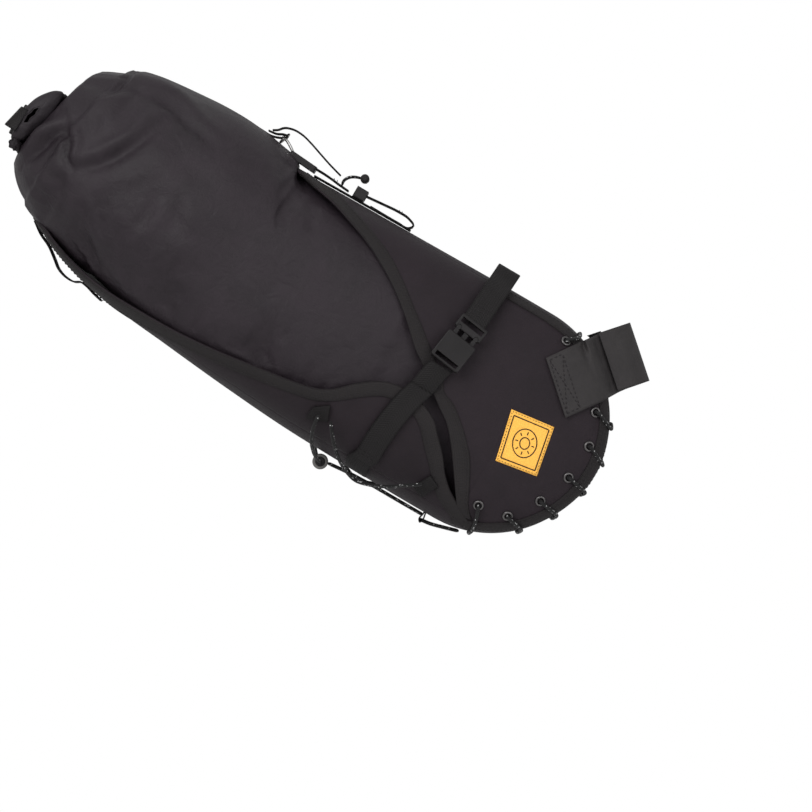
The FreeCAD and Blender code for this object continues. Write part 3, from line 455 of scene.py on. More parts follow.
class Graph:
    """A material's nodes, under short names."""

    def __init__(self, name, coords="UV"):
        self.mat = bpy.data.materials.new(name)
        self.mat.use_nodes = True
        self.nodes = self.mat.node_tree.nodes
        self.links = self.mat.node_tree.links
        self.shader = self.nodes["Principled BSDF"]
        self.place = self.nodes.new("ShaderNodeTexCoord").outputs[coords]
        split = self.nodes.new("ShaderNodeSeparateXYZ")
        self.links.new(self.place, split.inputs[0])
        self.u, self.v, self.w = split.outputs

    def put(self, socket, value):
        if isinstance(value, (int, float)):
            socket.default_value = value
        elif isinstance(value, (tuple, list)):
            socket.default_value = (*value, 1.0) if len(value) == 3 else value
        else:
            self.links.new(value, socket)

    def math(self, operation, a, b=0.0):
        node = self.nodes.new("ShaderNodeMath")
        node.operation = operation
        for socket, value in zip(node.inputs, (a, b)):
            self.put(socket, value)
        return node.outputs[0]

    def plus(self, a, b):
        return self.math("ADD", a, b)

    def times(self, a, b):
        return self.math("MULTIPLY", a, b)

    def arch(self, value):
        """One smooth bump in each whole step of the value."""
        return self.math("SINE", self.times(self.math("FRACT", value), math.pi))

    def noise(self, scale, detail=3.0, rough=0.55, where=None, distort=0.0):
        node = self.nodes.new("ShaderNodeTexNoise")
        self.put(node.inputs["Vector"], where or self.place)
        node.inputs["Scale"].default_value = scale
        node.inputs["Detail"].default_value = detail
        node.inputs["Roughness"].default_value = rough
        node.inputs["Distortion"].default_value = distort
        return node.outputs["Fac"]

    def object_place(self):
        return self.nodes.new("ShaderNodeTexCoord").outputs["Object"]

    def span(self, value, low, high, to_low, to_high):
        node = self.nodes.new("ShaderNodeMapRange")
        for socket, v in zip(node.inputs, (value, low, high, to_low, to_high)):
            self.put(socket, v)
        return node.outputs[0]

    def spread(self, noise, low, high):
        """The usual range of a noise, spread between two values."""
        return self.span(noise, 0.3, 0.7, low, high)

    def paint(self, colour, tone):
        """A colour made darker or paler by a tone around 1."""
        return self.mix(self.times(tone, 0.5), shade(colour, 0.0), shade(colour, 2.0))

    def mix(self, share, a, b):
        node = self.nodes.new("ShaderNodeMix")
        node.data_type = "RGBA"
        self.put(node.inputs["Factor"], share)
        self.put(node.inputs["A"], a)
        self.put(node.inputs["B"], b)
        return node.outputs["Result"]

    def bump(self, height, distance, below=None):
        node = self.nodes.new("ShaderNodeBump")
        node.inputs["Strength"].default_value = 1.0
        node.inputs["Distance"].default_value = distance
        self.put(node.inputs["Height"], height)
        if below is not None:
            self.links.new(below, node.inputs["Normal"])
        return node.outputs[0]

    def finish(self, colour, rough, normal=None, metallic=0.0, specular=0.5, sheen=0.0):
        values = {"Base Color": colour, "Roughness": rough, "Metallic": metallic,
                  "Specular IOR Level": specular, "Sheen Weight": sheen,
                  "Sheen Tint": (1, 1, 1), "Sheen Roughness": 0.45}
        for key, value in values.items():
            self.put(self.shader.inputs[key], value)
        if normal is not None:
            self.links.new(normal, self.shader.inputs["Normal"])
        return self.mat


def shade(colour, amount):
    return tuple(c * amount for c in colour)


def plain_weave(g, pitch):
    """Height of over-and-under threads, `pitch` metres apart."""
    u, v = g.math("DIVIDE", g.u, pitch), g.math("DIVIDE", g.v, pitch)
    cell = g.plus(g.math("FLOOR", u), g.math("FLOOR", v))
    turn = g.math("MODULO", g.math("ABSOLUTE", cell), 2.0)
    return g.plus(g.times(g.arch(u), turn), g.times(g.arch(v), g.math("SUBTRACT", 1.0, turn)))


def cloth_material(name, colour, rough, pitch=0.0008, weave=0.00012, wrinkle=0.0006,
                   mottle=0.16, specular=0.14):
    """Coated woven nylon: threads, soft wrinkles, and patches where the coating is duller."""
    g = Graph(name)
    threads = plain_weave(g, pitch)
    where = g.object_place()
    patches = g.noise(26, 4, 0.6, where, 0.4)
    creases = g.noise(70, 5, 0.6, where, 0.8)
    grain = g.noise(2400, 2, 0.6, where)
    tone = g.plus(g.spread(patches, 1 - mottle, 1 + mottle),
                  g.plus(g.spread(grain, -0.22, 0.22), g.span(threads, 0.0, 1.0, -0.22, 0.12)))
    dull = g.plus(g.spread(patches, rough - 0.07, rough + 0.07),
                  g.span(threads, 0, 1, 0.06, -0.04))
    normal = g.bump(creases, wrinkle)
    normal = g.bump(grain, 0.00006, normal)
    return g.finish(g.paint(colour, tone), dull, g.bump(threads, weave, normal),
                    specular=specular)


def webbing_material(name, colour):
    """Woven strap: chevrons of thread across ribs."""
    g = Graph(name)
    fold = g.math("PINGPONG", g.v, 0.005)
    slope = g.math("DIVIDE", g.plus(g.u, fold), 0.0021)
    ribs = g.math("SINE", g.times(slope, 2 * math.pi))
    picks = g.math("SINE", g.times(g.v, 2 * math.pi / 0.0011))
    height = g.plus(g.times(ribs, 0.6), g.times(picks, 0.4))
    grain = g.noise(1900, 2, 0.6, g.object_place())
    patches = g.noise(45, 3, 0.5, g.object_place())
    tone = g.plus(g.span(height, -1, 1, 0.78, 1.15),
                  g.plus(g.spread(grain, -0.2, 0.2), g.spread(patches, -0.12, 0.12)))
    return g.finish(g.paint(colour, tone), g.span(height, -1, 1, 0.7, 0.56),
                    g.bump(grain, 0.00008, g.bump(height, 0.00014)), specular=0.14)


def moulded_material(name, colour, rough=0.42, grain_depth=0.00005, specular=0.5, edge_highlight_share=0.3):
    """Moulded plastic or rubber with a fine spark-eroded grain and a painted highlight on its
    edges.
    """
    g = Graph(name, "Object")
    grain = g.noise(3200, 3, 0.6)
    patches = g.noise(60, 3, 0.6)
    # Painted highlight: convex edges (high pointiness) are painted paler, in patches, towards 3.5
    # times the colour.
    edge = g.nodes.new("ShaderNodeNewGeometry").outputs["Pointiness"]
    painted_edge_highlight = g.times(g.span(edge, 0.52, 0.62, 0.0, 1.0), g.span(patches, 0.35, 0.6, 0.2, 1.0))
    paint = g.paint(colour, g.spread(patches, 0.88, 1.12))
    paint = g.mix(g.times(painted_edge_highlight, edge_highlight_share), paint, shade(colour, 3.5))
    dull = g.plus(g.spread(grain, rough - 0.04, rough + 0.06), g.spread(patches, -0.04, 0.04))
    return g.finish(paint, dull, g.bump(grain, grain_depth), specular=specular)


def metal_material(name, colour, rough):
    """Metal with fine scratches and cloudier patches."""
    g = Graph(name, "Object")
    scratches = g.noise(900, 5, 0.7, None, 1.5)
    patches = g.noise(120, 3, 0.6)
    paint = g.mix(g.spread(patches, 0.0, 1.0), shade(colour, 0.85), shade(colour, 1.1))
    return g.finish(paint, g.spread(scratches, rough - 0.06, rough + 0.1),
                    g.bump(scratches, 0.00003), metallic=1.0)


def fleck_cord_material(name, colour, fleck):
    """Braided elastic cord with pale tracer threads; u runs along it, v round it."""
    g = Graph(name)
    left = g.math("DIVIDE", g.plus(g.u, g.v), 0.0016)
    right = g.math("DIVIDE", g.math("SUBTRACT", g.u, g.v), 0.0016)
    braid = g.times(g.arch(left), g.arch(right))
    cell = g.nodes.new("ShaderNodeCombineXYZ")
    g.put(cell.inputs[0], g.math("FLOOR", left))
    g.put(cell.inputs[1], g.math("FLOOR", right))
    chance = g.nodes.new("ShaderNodeTexWhiteNoise")
    g.links.new(cell.outputs[0], chance.inputs["Vector"])
    pale = g.math("GREATER_THAN", chance.outputs["Value"], 0.93)
    pale = g.times(pale, g.math("GREATER_THAN", braid, 0.12))
    dark = g.mix(braid, shade(colour, 0.5), shade(colour, 1.3))
    return g.finish(g.mix(pale, dark, fleck), 0.6, g.bump(braid, 0.0003), specular=0.25,
                    sheen=0.03)


def hook_fastener_material(name, colour):
    """The fuzzy face of hook tape."""
    g = Graph(name, "Object")
    fuzz = g.noise(1500, 6, 0.8)
    paint = g.mix(fuzz, shade(colour, 0.4), shade(colour, 1.9))
    return g.finish(paint, 0.9, g.bump(fuzz, 0.0006), specular=0.2, sheen=0.6)


def strap_sheet_material(name, colour):
    """Rubber-coated strap cloth: matt, with a fine pebble and scuffs."""
    g = Graph(name)
    where = g.object_place()
    pebble = g.noise(1500, 3, 0.6, where)
    scuff = g.noise(55, 5, 0.65, where, 1.0)
    tone = g.plus(g.spread(scuff, 0.8, 1.2), g.spread(pebble, -0.15, 0.15))
    normal = g.bump(plain_weave(g, 0.0006), 0.00006, g.bump(pebble, 0.00012))
    return g.finish(g.paint(colour, tone), g.spread(scuff, 0.58, 0.75), normal, specular=0.2)


HOLSTER_CLOTH = cloth_material("holster_nylon", (0.0165, 0.0120, 0.0150), 0.6)
WING_CLOTH = cloth_material("wing_nylon", (0.0150, 0.0110, 0.0136), 0.6)
BAG_CLOTH = cloth_material("dry_bag_nylon", (0.0165, 0.0122, 0.0155), 0.5, pitch=0.0005,
                           weave=0.00006, wrinkle=0.0012, mottle=0.2, specular=0.2)
ROLL_CLOTH = cloth_material("roll_nylon", (0.0160, 0.0130, 0.0155), 0.5, pitch=0.0005,
                            weave=0.00006, wrinkle=0.0016, mottle=0.22, specular=0.18)
BINDING_TAPE = cloth_material("binding_tape", (0.0165, 0.0145, 0.0150), 0.7, pitch=0.0011,
                              weave=0.0002, wrinkle=0.0004, mottle=0.12)
THREAD = cloth_material("sewing_thread", (0.022, 0.019, 0.021), 0.5, pitch=0.0005,
                        wrinkle=0.0002)
WEBBING = webbing_material("black_webbing", (0.0095, 0.0085, 0.0088))
POST_STRAP = strap_sheet_material("coated_strap", (0.026, 0.0235, 0.0240))
HOOK_SIDE = hook_fastener_material("hook_tape", (0.028, 0.027, 0.027))
PLASTIC = moulded_material("black_acetal", (0.012, 0.011, 0.0115), specular=0.14, edge_highlight_share=0.2)
GREY_PLASTIC = moulded_material("grey_acetal", (0.085, 0.081, 0.077), 0.5)
RUBBER = moulded_material("pad_rubber", (0.018, 0.018, 0.018), 0.75, 0.0002, 0.3)
EYELET = metal_material("eyelet_finish", (0.11, 0.105, 0.105), 0.38)
WIRE = metal_material("wire_finish", (0.62, 0.61, 0.6), 0.28)
ELASTIC = fleck_cord_material("elastic_cord", (0.006, 0.0056, 0.006), (0.34, 0.34, 0.34))
LABEL = cloth_material("label_twill", (0.90, 0.47, 0.085), 0.7, pitch=0.0009, weave=0.00016,
                       wrinkle=0.0005, mottle=0.05)
LABEL_PRINT = cloth_material("label_print", (0.014, 0.012, 0.012), 0.55, pitch=0.0009)


# ------------------------------------------------------------------ lines on the holster

CLOTH = 1.6                        # thickness of the panels
WEB_PLY = 1.4
WEB_WIDTH = 20.0
TOP_HALF = 34.0                    # half widths of the top and the base between the seams
BASE_HALF = 44.0
TONGUE_HALF = 41.6
FRONT_REAR = -216.0                # where the front cover's edge crosses to the side

# The front cover's rear edge: over the top as (s, degrees), then down the side as (x, z).
FRONT_TOP = [(-240, 0), (-237.5, 8), (-231, 17)]
FRONT_SIDE = [(-220, 87), (-200, 83), (-180, 76.5), (-160, 69), (-140, 59), (-120, 46.5),
              (-100, 31), (-80, 13), (-71, 7), (-47, -12), (-40, -17), (-30, -24), (-20, -35),
              (-10, -48), (0, -62), (8, -73), (15, -82)]
STITCH_TOP = [(-228, 0), (-225.5, 8), (-216, 14)]
STITCH_SIDE = [(-200, 90), (-180, 85), (-160, 78), (-140, 70), (-120, 58), (-100, 43), (-80, 28),
               (-70, 20), (-47, 0), (-30, -10), (-10, -27), (0, -38), (10, -55), (19, -72),
               (27, -80)]
# The wings' upper edge, from the tongue to under the nose.
WING_SIDE = [(-380, -57), (-360, -64), (-340, -69), (-320, -71.5), (-300, -72), (-260, -71.5),
             (-220, -68), (-180, -62), (-150, -57), (-130, -51.5), (-120, -45), (-110, -35),
             (-100, -27), (-90, -21), (-80, -18), (-65, -18.5), (-50, -22), (-40, -27),
             (-30, -37), (-20, -47), (-10, -60), (0, -69), (10, -75), (20, -80), (30, -84)]
WING_BAND = [(-380, -65), (-360, -72), (-340, -77), (-320, -79.5), (-300, -80), (-260, -79.5),
             (-220, -76.5), (-180, -71), (-150, -66), (-126, -60), (-113, -52), (-103, -44),
             (-94, -37), (-86, -32), (-80, -30), (-67, -30), (-54, -33), (-47, -37.5),
             (-38, -47), (-28, -57), (-17, -68.5), (-7, -77.5), (6, -84.5), (17, -88.5),
             (27, -90)]
TONGUE_ROUND = -380.0              # behind this the tongue's edge is a rounded tip
TONGUE_TIP = -404.0
WEIGHT = 80.0                      # mm per radian, to measure along a line of (s, theta)


def st(points_xz):
    return [(float(holster.s_of(x)), float(holster.theta_of(x, z))) for x, z in points_xz]


def smooth_st(points, count):
    p = np.array(points, float) * (1, WEIGHT)
    return smooth_line(p, count) / (1, WEIGHT)


def both_sides(half, count):
    """A line of (s, theta) from the right side over the middle to the left side."""
    half = smooth_st(half, count)
    right = half[::-1] * (1, -1)
    return np.vstack([right, half[1:]])


def front_half(top, side_points):
    return [(s, math.radians(t)) for s, t in top] + st(side_points)


front_edge = smooth_st(front_half(FRONT_TOP, FRONT_SIDE), 120)
wing_edge = smooth_st(st(WING_SIDE), 160)


def front_theta(s):
    return np.interp(s, front_edge[:, 0], front_edge[:, 1])


def seam_theta(s, under=False):
    return holster.theta_at_y(s, TOP_HALF, under)


def tongue_half(x):
    """Half width of the tongue, measured flat, where its tip is rounded."""
    back = np.clip((TONGUE_ROUND - np.asarray(x, float)) / (TONGUE_ROUND - TONGUE_TIP), 0, 1)
    return TONGUE_HALF * np.sqrt(1 - back ** 2)


# ------------------------------------------------------------------ holster panels

SEAM_GAP = 0.001                   # least angle between a panel's two edges


def side_panel(side):
    last = front_edge[-1, 0]
    rows = []
    for s in np.concatenate([np.linspace(FRONT_REAR, last, 90),
                             np.linspace(last, holster.end, 56)[1:]]):
        top, seam = seam_theta(s), seam_theta(s, True)
        low = min(max(top + SEAM_GAP, front_theta(s)) if s < last else seam, seam)
        rows.append(holster.at(s, side * np.linspace(top, low, 48)))
    name = f"side_panel_{SIDE_NAME[side]}"
    sheet(f"cover_{name}", rows, CLOTH, HOLSTER_CLOTH, uv=level_uv(rows, 0), replaces=(name,))


def across_row(s, half, under, count=31):
    """Points straight across the top or the base."""
    y = np.linspace(-half, half, count)
    theta = np.sign(y) * holster.theta_at_y(s, np.abs(y), under)
    theta[y == 0] = math.pi if under else 0.0
    return holster.at(s, theta)


def top_panel():
    rows = []
    for s in np.linspace(-239.5, -20, 70):
        reach = TOP_HALF
        if s < FRONT_REAR:
            edge = front_edge[front_edge[:, 0] > s][0, 1]
            reach = min(TOP_HALF, abs(float(holster.point(s, max(edge, 0.02))[1])))
        rows.append(across_row(s, reach, False))
    sheet("cover_top_panel", rows, CLOTH, HOLSTER_CLOTH, replaces=("top_panel",))


def nose_gusset():
    end = holster.end - 0.4
    rows = [across_row(s, TOP_HALF, False) for s in np.linspace(-20, end, 60)]
    rows += [across_row(s, TOP_HALF, True) for s in np.linspace(end, 38, 42)]
    sheet("cover_nose_gusset", rows, CLOTH, HOLSTER_CLOTH, replaces=("nose_gusset",))


def base_panel():
    widen = (BASE_HALF - TONGUE_HALF) / 20     # mm of half width in each mm ahead of the tip
    rows = [across_row(s, max(0.4, float(tongue_half(s))), True, 41)
            for s in np.linspace(TONGUE_TIP, TONGUE_ROUND, 26)]
    rows += [across_row(s, min(BASE_HALF, TONGUE_HALF + widen * (s - TONGUE_ROUND)), True, 41)
             for s in np.linspace(TONGUE_ROUND, 40, 100)[1:]]
    sheet("base_cloth", rows, CLOTH, WING_CLOTH, replaces=("base_panel",))


def wing_panel(side):
    rows = []
    for s in np.linspace(-362, wing_edge[-1, 0], 120):
        top = np.interp(s, wing_edge[:, 0], wing_edge[:, 1])
        low = max(top + SEAM_GAP, float(holster.theta_at_y(s, BASE_HALF, True)))
        rows.append(holster.at(s, side * np.linspace(top, low, 24)))
    name = f"wing_panel_{SIDE_NAME[side]}"
    sheet(f"cloth_{name}", rows, CLOTH, WING_CLOTH, uv=level_uv(rows, -1), replaces=(name,))


for side in (RIGHT, LEFT):
    side_panel(side)
    wing_panel(side)
top_panel()
nose_gusset()
base_panel()


# ------------------------------------------------------------------ binding and stitching

stitch_lines = []


def front_binding():
    edge = both_sides(front_half(FRONT_TOP, FRONT_SIDE), 150)
    inner = both_sides(front_half(STITCH_TOP, STITCH_SIDE), 150)
    banded("front_binding", edge, inner, -CLOTH - 0.5, CLOTH + 1.6,
           ("front_binding_right", "front_binding_left"))
    stitch_lines.append(line_on(between(edge, inner, 0.8), 1.1))


def wing_line(side_points, inset):
    """The wing edge on one side and round the tongue's tip to the middle."""
    tip = []
    for turn in np.linspace(0.12, 1, 9) * math.pi / 2:
        s = TONGUE_ROUND + (TONGUE_TIP + inset - TONGUE_ROUND) * math.sin(turn)
        y = (TONGUE_HALF - inset) * math.cos(turn)
        tip.append((s, float(holster.theta_at_y(s, max(y, 0.0), True))))
    return st(side_points)[::-1] + tip


def wing_binding():
    lines = []
    for points, inset in ((WING_SIDE, 0), (WING_BAND, 9)):
        half = smooth_st(wing_line(points, inset), 190)
        other = half[-2::-1] * (1, -1) + (0, 2 * math.pi)
        lines.append(np.vstack([half, other]))
    banded("wing_binding", *lines, -CLOTH - 0.5, CLOTH + 1.7,
           ("wing_binding_right", "wing_binding_left"))
    stitch_lines.append(line_on(between(*lines, 0.78), 1.2))


def nose_path(y, inset):
    """A line round the nose near its edge: at a distance y, or `inset` in from the outline."""
    upper = np.linspace(-60.0, holster.end - 1.0, 80)
    lower = np.linspace(holster.end - 1.0, 14.0, 80)[1:]
    out = []
    for s, under in [(s, False) for s in upper] + [(s, True) for s in lower]:
        if y is not None:
            out.append((s, float(holster.theta_at_y(s, y, under))))
            continue
        x, top, bottom, _, _ = holster.rows(s)
        if s > 0:
            turn = s / NOSE_RADIUS
            x = (NOSE_RADIUS - inset) * NOSE_STRETCH * math.sin(turn)
            z = (NOSE_RADIUS - inset) * math.cos(turn) * (-1 if under else 1)
        else:
            z = bottom + inset if under else top - inset
        out.append((float(holster.s_of(x)), float(holster.theta_of(x, z))))
    return np.array(out)


def nose_binding(side):
    outer = nose_path(31.5, 0) * (1, side)
    inner = nose_path(None, 9.5) * (1, side)
    name = f"nose_binding_{SIDE_NAME[side]}"
    banded(f"tape_{name}", outer, inner, -0.4, 1.5, (name,), bow=0.25)
    for share in (0.84, 0.22):
        stitch_lines.append(line_on(between(outer, inner, share), 1.15))


front_binding()
wing_binding()
for side in (RIGHT, LEFT):
    nose_binding(side)


# ------------------------------------------------------------------ eyelets, lace and label

# Eyelets on each side: place in the side view, and the angle from straight ahead at which the
# lace passes the nose's edge.
EYELETS = [((19.5, 81), 73.5), ((68.5, 44), 26.0), ((78, 18), 7.3), ((76.5, -12), -11.3),
           ((66.5, -39.5), -29.0), ((50, -63), -47.0), ((25.5, -67.5), -70.7)]
EYELET_AROUND = 40
EYELET_FLANGE = np.array([(2.3, -0.9), (2.3, 0.7), (2.7, 1.25), (3.4, 1.35), (4.1, 1.05),
                          (4.35, 0.5), (4.3, 0.1), (3.0, -0.1), (2.9, -0.9)])


def ring_at(centre, normal, profile):
    """A turned ring: profile of (radius, height) revolved about the normal."""
    side_dir = unit(np.cross(normal, (0.3, 1.0, 0.2)))
    other = np.cross(normal, side_dir)
    verts = []
    for k in range(EYELET_AROUND + 1):
        turn = 2 * math.pi * (k % EYELET_AROUND) / EYELET_AROUND
        d = side_dir * math.cos(turn) + other * math.sin(turn)
        verts.extend(centre + d * r + normal * h for r, h in profile)
    return verts, grid_faces(EYELET_AROUND + 1, len(profile), True)


def merged(parts):
    verts, faces = [], []
    for v, f in parts:
        base = len(verts)
        verts.extend(v)
        faces.extend(tuple(base + i for i in face) for face in f)
    return np.array(verts), faces


def eyelets():
    parts = []
    for side in (RIGHT, LEFT):
        for (x, z), _ in EYELETS:
            normal = holster.normal(holster.s_of(x), side * holster.theta_of(x, z))
            parts.append(ring_at(holster.side(x, z, side, 0.35), normal, EYELET_FLANGE))
    verts, faces = merged(parts)
    new_piece("turned_eyelets", bag(verts), faces, EYELET, replaces=("eyelets",))


def nose_spot(degrees, y, lift):
    """A point over the nose at an angle from straight ahead and a distance y from the middle."""
    s = (math.pi / 2 - math.radians(abs(degrees))) * NOSE_RADIUS
    return holster.at(s, holster.theta_at_y(s, y, degrees < 0), lift)


def lace_cords():
    paths = []
    for (x, z), edge in EYELETS:
        half = [holster.side(x, z, LEFT, lift) for lift in (-2.0, 1.0, 2.9)]
        over = nose_spot(edge, 34.0, 2.9)
        half.append(half[2] * 0.6 + over * 0.4 + np.array([0.8, 2.6, 0.0]))
        half.append(over)
        half += [nose_spot(edge, y, lift) for y, lift in ((24.0, 1.9), (10.0, 1.7), (0.0, 1.7))]
        paths.append(half + [p * (1, -1, 1) for p in half[-2::-1]])
    cord("elastic_lacing", paths, 1.5, "nose_lace")


def patch_spot(corners, u, v):
    """A place in the side view, a share u along and v down a patch with four corners."""
    a, b, c, d = corners
    return (a * (1 - u) + b * u) * (1 - v) + (d * (1 - u) + c * u) * v


LABEL_CORNERS = np.array([(9, 12), (46, 17), (54, -24), (19, -30)], float)


def label_spot(u, v, lift):
    """A point on the label: u and v run from 0 to 1 along its edges."""
    x, z = patch_spot(LABEL_CORNERS, u, v)
    return holster.side(x, z, RIGHT, lift)


MARK_LIFT = 1.15                   # the printed lines: height, half width and thickness
MARK_HALF = 0.42
MARK_PLY = 0.25


def label_strip(start, end):
    """A raised line of print on the label, given in label coordinates."""
    line = resample([start, end], 8)
    p = np.array([label_spot(u, v, MARK_LIFT) for u, v in line])
    up = unit(np.array([label_spot(u, v, MARK_LIFT + 1) for u, v in line]) - p)
    side_dir = unit(np.cross(np.gradient(p, axis=0), up)) * MARK_HALF
    high = up * MARK_PLY
    rings = np.stack([p - side_dir, p - side_dir + high, p + side_dir + high, p + side_dir], 1)
    return list(rings.reshape(-1, 3)), tube_faces(len(p), 4)


def label_box(u, v):
    """A closed frame on the label, set in from its edges by u and v."""
    corners = [(u, v), (1 - u, v), (1 - u, 1 - v), (u, 1 - v), (u, v)]
    return zip(corners, corners[1:])


def label():
    shares = np.linspace(0, 1, 26)
    puff = 1 - (2 * shares - 1) ** 6
    grid = [[label_spot(u, v, 0.5 + 0.7 * (pu * pv) ** 0.6) for v, pv in zip(shares, puff)]
            for u, pu in zip(shares, puff)]
    sheet("side_label", grid, 0.9, LABEL, replaces=("label_patch",))

    def on_circle(size, k):
        turn = math.radians(15 * k)
        return 0.5 + size * math.cos(turn), 0.5 + size * math.sin(turn)

    marks = [label_strip(a, b) for a, b in label_box(0.09, 0.09)]
    for size in (0.27, 0.11):
        marks += [label_strip(on_circle(size, k), on_circle(size, k + 1)) for k in range(24)]
    marks += [label_strip(on_circle(0.16, k), on_circle(0.22, k)) for k in range(0, 24, 3)]
    verts, faces = merged(marks)
    new_piece("label_motif", bag(verts), faces, LABEL_PRINT, smooth=False)
    rows = []
    for a, b in label_box(0.035, 0.03):
        line = resample([a, b], 30)
        p = np.array([label_spot(u, v, 1.0) for u, v in line])
        rows.append((p, unit(np.array([label_spot(u, v, 2.0) for u, v in line]) - p)))
    stitches("label_stitches", rows, "binding_tape", length=1.7, gap=0.8, radius=0.2)


eyelets()
lace_cords()
label()


# ------------------------------------------------------------------ side straps

def on_middle(places):
    """Places (x, z) in the bag's middle plane."""
    return [(x, 0, z) for x, z in places]


# Centre line of the lower webbing in the side view, from under the base to the buckle.
SIDE_STRAP = [(-72.5, -80), (-71, -60), (-69, -40), (-65, -20), (-60, 0), (-57.3, 13)]


WEB_LIFT = 1.25                    # the side webbing's underside over the cloth
BUCKLE_RISE = 4.4                  # how much farther out it is at the buckle
SIDE_TACK = np.linspace(-80.7, -64.3, 14)
TACK_ACROSS = np.linspace(-8, 8, 12)


def side_strap_line():
    line = [(-73.6, float(holster.theta_at_y(-73.6, y, True))) for y in (30.0, 50.0)]
    return smooth_st(line + st(SIDE_STRAP), 90).T


def side_webbing(side):
    centre, theta = side_strap_line()
    level = np.linspace(0, 1, len(theta))
    rise = WEB_LIFT + BUCKLE_RISE * np.clip((level - 0.86) / 0.14, 0, 1) ** 2
    across, height = STRAP_PROFILE.T
    name = f"side_webbing_{SIDE_NAME[side]}"

    def layer(piece, keep, width, lift, **extra):
        rings = [holster.at(s + across * width / 2, side * t, r + lift + height * WEB_PLY)
                 for s, t, r in zip(centre[keep], theta[keep], rise[keep])]
        loop_sweep(f"{piece}_{name}", rings, WEBBING, **extra)

    layer("strap", level >= 0, WEB_WIDTH, 0.0, replaces=(name,))
    low_end = float(holster.theta_of(-72.6, -82))
    layer("tail", (theta < low_end) & (level < 0.93), WEB_WIDTH - 0.4, WEB_PLY + 0.15)
    for z in (-77.5, -74.9):
        line = [(s, side * float(holster.theta_of(-72.5, z))) for s in SIDE_TACK]
        stitch_lines.append(line_on(line, WEB_LIFT + 2 * WEB_PLY + 0.2))


RAIL_CENTRE_Y = 26.0
RAIL_CENTRE_Z = 104.0
RAIL_X = -48.6
RAIL_LEAN = math.radians(3.6)
RAIL_LOOP = 3.75                   # radius of the webbing's inside round the rail
# Distance out and height of the webbing on its way up and back.
RAIL_UP = [(71.8, 54.5), (71.0, 59.0), (65.5, 70), (57, 81.5), (46, 92), (36.5, 99.2)]
RAIL_BACK = [(36.3, 98.9), (45.8, 91.7), (56.8, 81.2), (64.2, 71.5)]


def rail_place(side, y, z):
    """A place in the leaning plane that the rail webbing runs in."""
    return RAIL_X + (z - RAIL_CENTRE_Z) * math.tan(RAIL_LEAN), side * y, z


def rail_webbing(side):
    """Webbing from the buckle over the saddle rail and back, sewn to itself above the buckle."""
    loop = [(RAIL_CENTRE_Y + RAIL_LOOP * math.cos(math.radians(a)),
             RAIL_CENTRE_Z + RAIL_LOOP * math.sin(math.radians(a)))
            for a in (55, 90, 130, 170, 210, 250, 285)]
    line = [rail_place(side, y, z) for y, z in RAIL_UP + loop + RAIL_BACK]
    name = f"rail_webbing_{SIDE_NAME[side]}"
    body = f"side_strap_{SIDE_NAME[side]}"
    strap(f"strap_{name}", line, WEB_WIDTH, WEB_PLY, body, across=(side, 0, 0), spacing=1.1,
          replaces=(name,))
    rows = []
    for y, z in ((71.2, 62.0), (69.2, 66.0), (66.9, 70.0)):
        middle = np.array(rail_place(side, y, z))
        p = np.array([middle + (dx, 0, 0) for dx in TACK_ACROSS])
        rows.append((p, np.tile(unit((0, side * 0.9, 0.44)), (12, 1))))
    stitches(f"bar_tack_{SIDE_NAME[side]}", rows, "webbing", body, length=1.6, gap=0.5,
             radius=0.38)


for side in (RIGHT, LEFT):
    side_webbing(side)
    rail_webbing(side)


# ------------------------------------------------------------------ seatpost strap

POST_X, POST_Z = 63.0, 95.0        # the post frame's origin in the bag frame
LEAN_S, LEAN_C = 0.755, 0.655
STRAP_HALF = 25.0
STRAP_LINES = 23                   # lines along the strap, across its width
STRAP_BEND = [(-23.5, 43.9), (-20, 38.6), (-14, 24.5), (-9, 18.4), (-3, 17.3)]
WRAP_OUTSIDE = 17.7
SEWN_END = -59.5


def bag_from_post(xp, y, zp):
    return np.array([POST_X + LEAN_C * xp - LEAN_S * zp, y, POST_Z + LEAN_S * xp + LEAN_C * zp])


def post_from_bag(p):
    p = np.asarray(p, float)
    dx, dz = p[..., 0] - POST_X, p[..., 2] - POST_Z
    return np.stack([LEAN_C * dx + LEAN_S * dz, p[..., 1], -LEAN_S * dx + LEAN_C * dz], -1)


def strap_middle(xp):
    return float(np.interp(xp, [SEWN_END, -22, -6, 0], [-8.9, -5.3, -3.2, -3.0]))


def strap_grid(side, tail, count):
    """Outside of the seatpost strap: sewn to the side panel, then over to the post."""
    lines = []
    for share in np.linspace(-1, 1, STRAP_LINES):
        line = []
        for xp in np.linspace(SEWN_END, -28.5, 9):
            x, _, z = bag_from_post(xp, 0, strap_middle(xp) + STRAP_HALF * share)
            line.append(post_from_bag(holster.side(x, z, side, 3.1)))
        line += [(xp, side * y, strap_middle(xp) + STRAP_HALF * share) for xp, y in STRAP_BEND]
        line += [(xp, y, STRAP_HALF * share - 3) for xp, y in tail]
        lines.append(smooth_line(line, count))
    return np.stack(lines, 1)


def wrap_points(degrees):
    """Places round the post on the strap's outside."""
    return [(WRAP_OUTSIDE * math.cos(math.radians(a)), WRAP_OUTSIDE * math.sin(math.radians(a)))
            for a in degrees]


def thread_line(grid, normals, start, end, count):
    """Points and normals between two grid positions (row, column)."""
    ways = list(zip(np.linspace(start[0], end[0], count), np.linspace(start[1], end[1], count)))
    return tuple(np.array([sample(field, i, j) for i, j in ways]) for field in (grid, normals))


def sample(grid, i, j):
    i0, j0 = min(int(i), grid.shape[0] - 2), min(int(j), grid.shape[1] - 2)
    a, b = i - i0, j - j0
    return ((grid[i0, j0] * (1 - a) + grid[i0 + 1, j0] * a) * (1 - b)
            + (grid[i0, j0 + 1] * (1 - a) + grid[i0 + 1, j0 + 1] * a) * b)


def strap_normals(grid, side):
    """Normals of the seatpost strap, outward where it lies on the bag's side."""
    n = flat_normals(grid)
    return n if side * n[2, STRAP_LINES // 2, 1] > 0 else -n


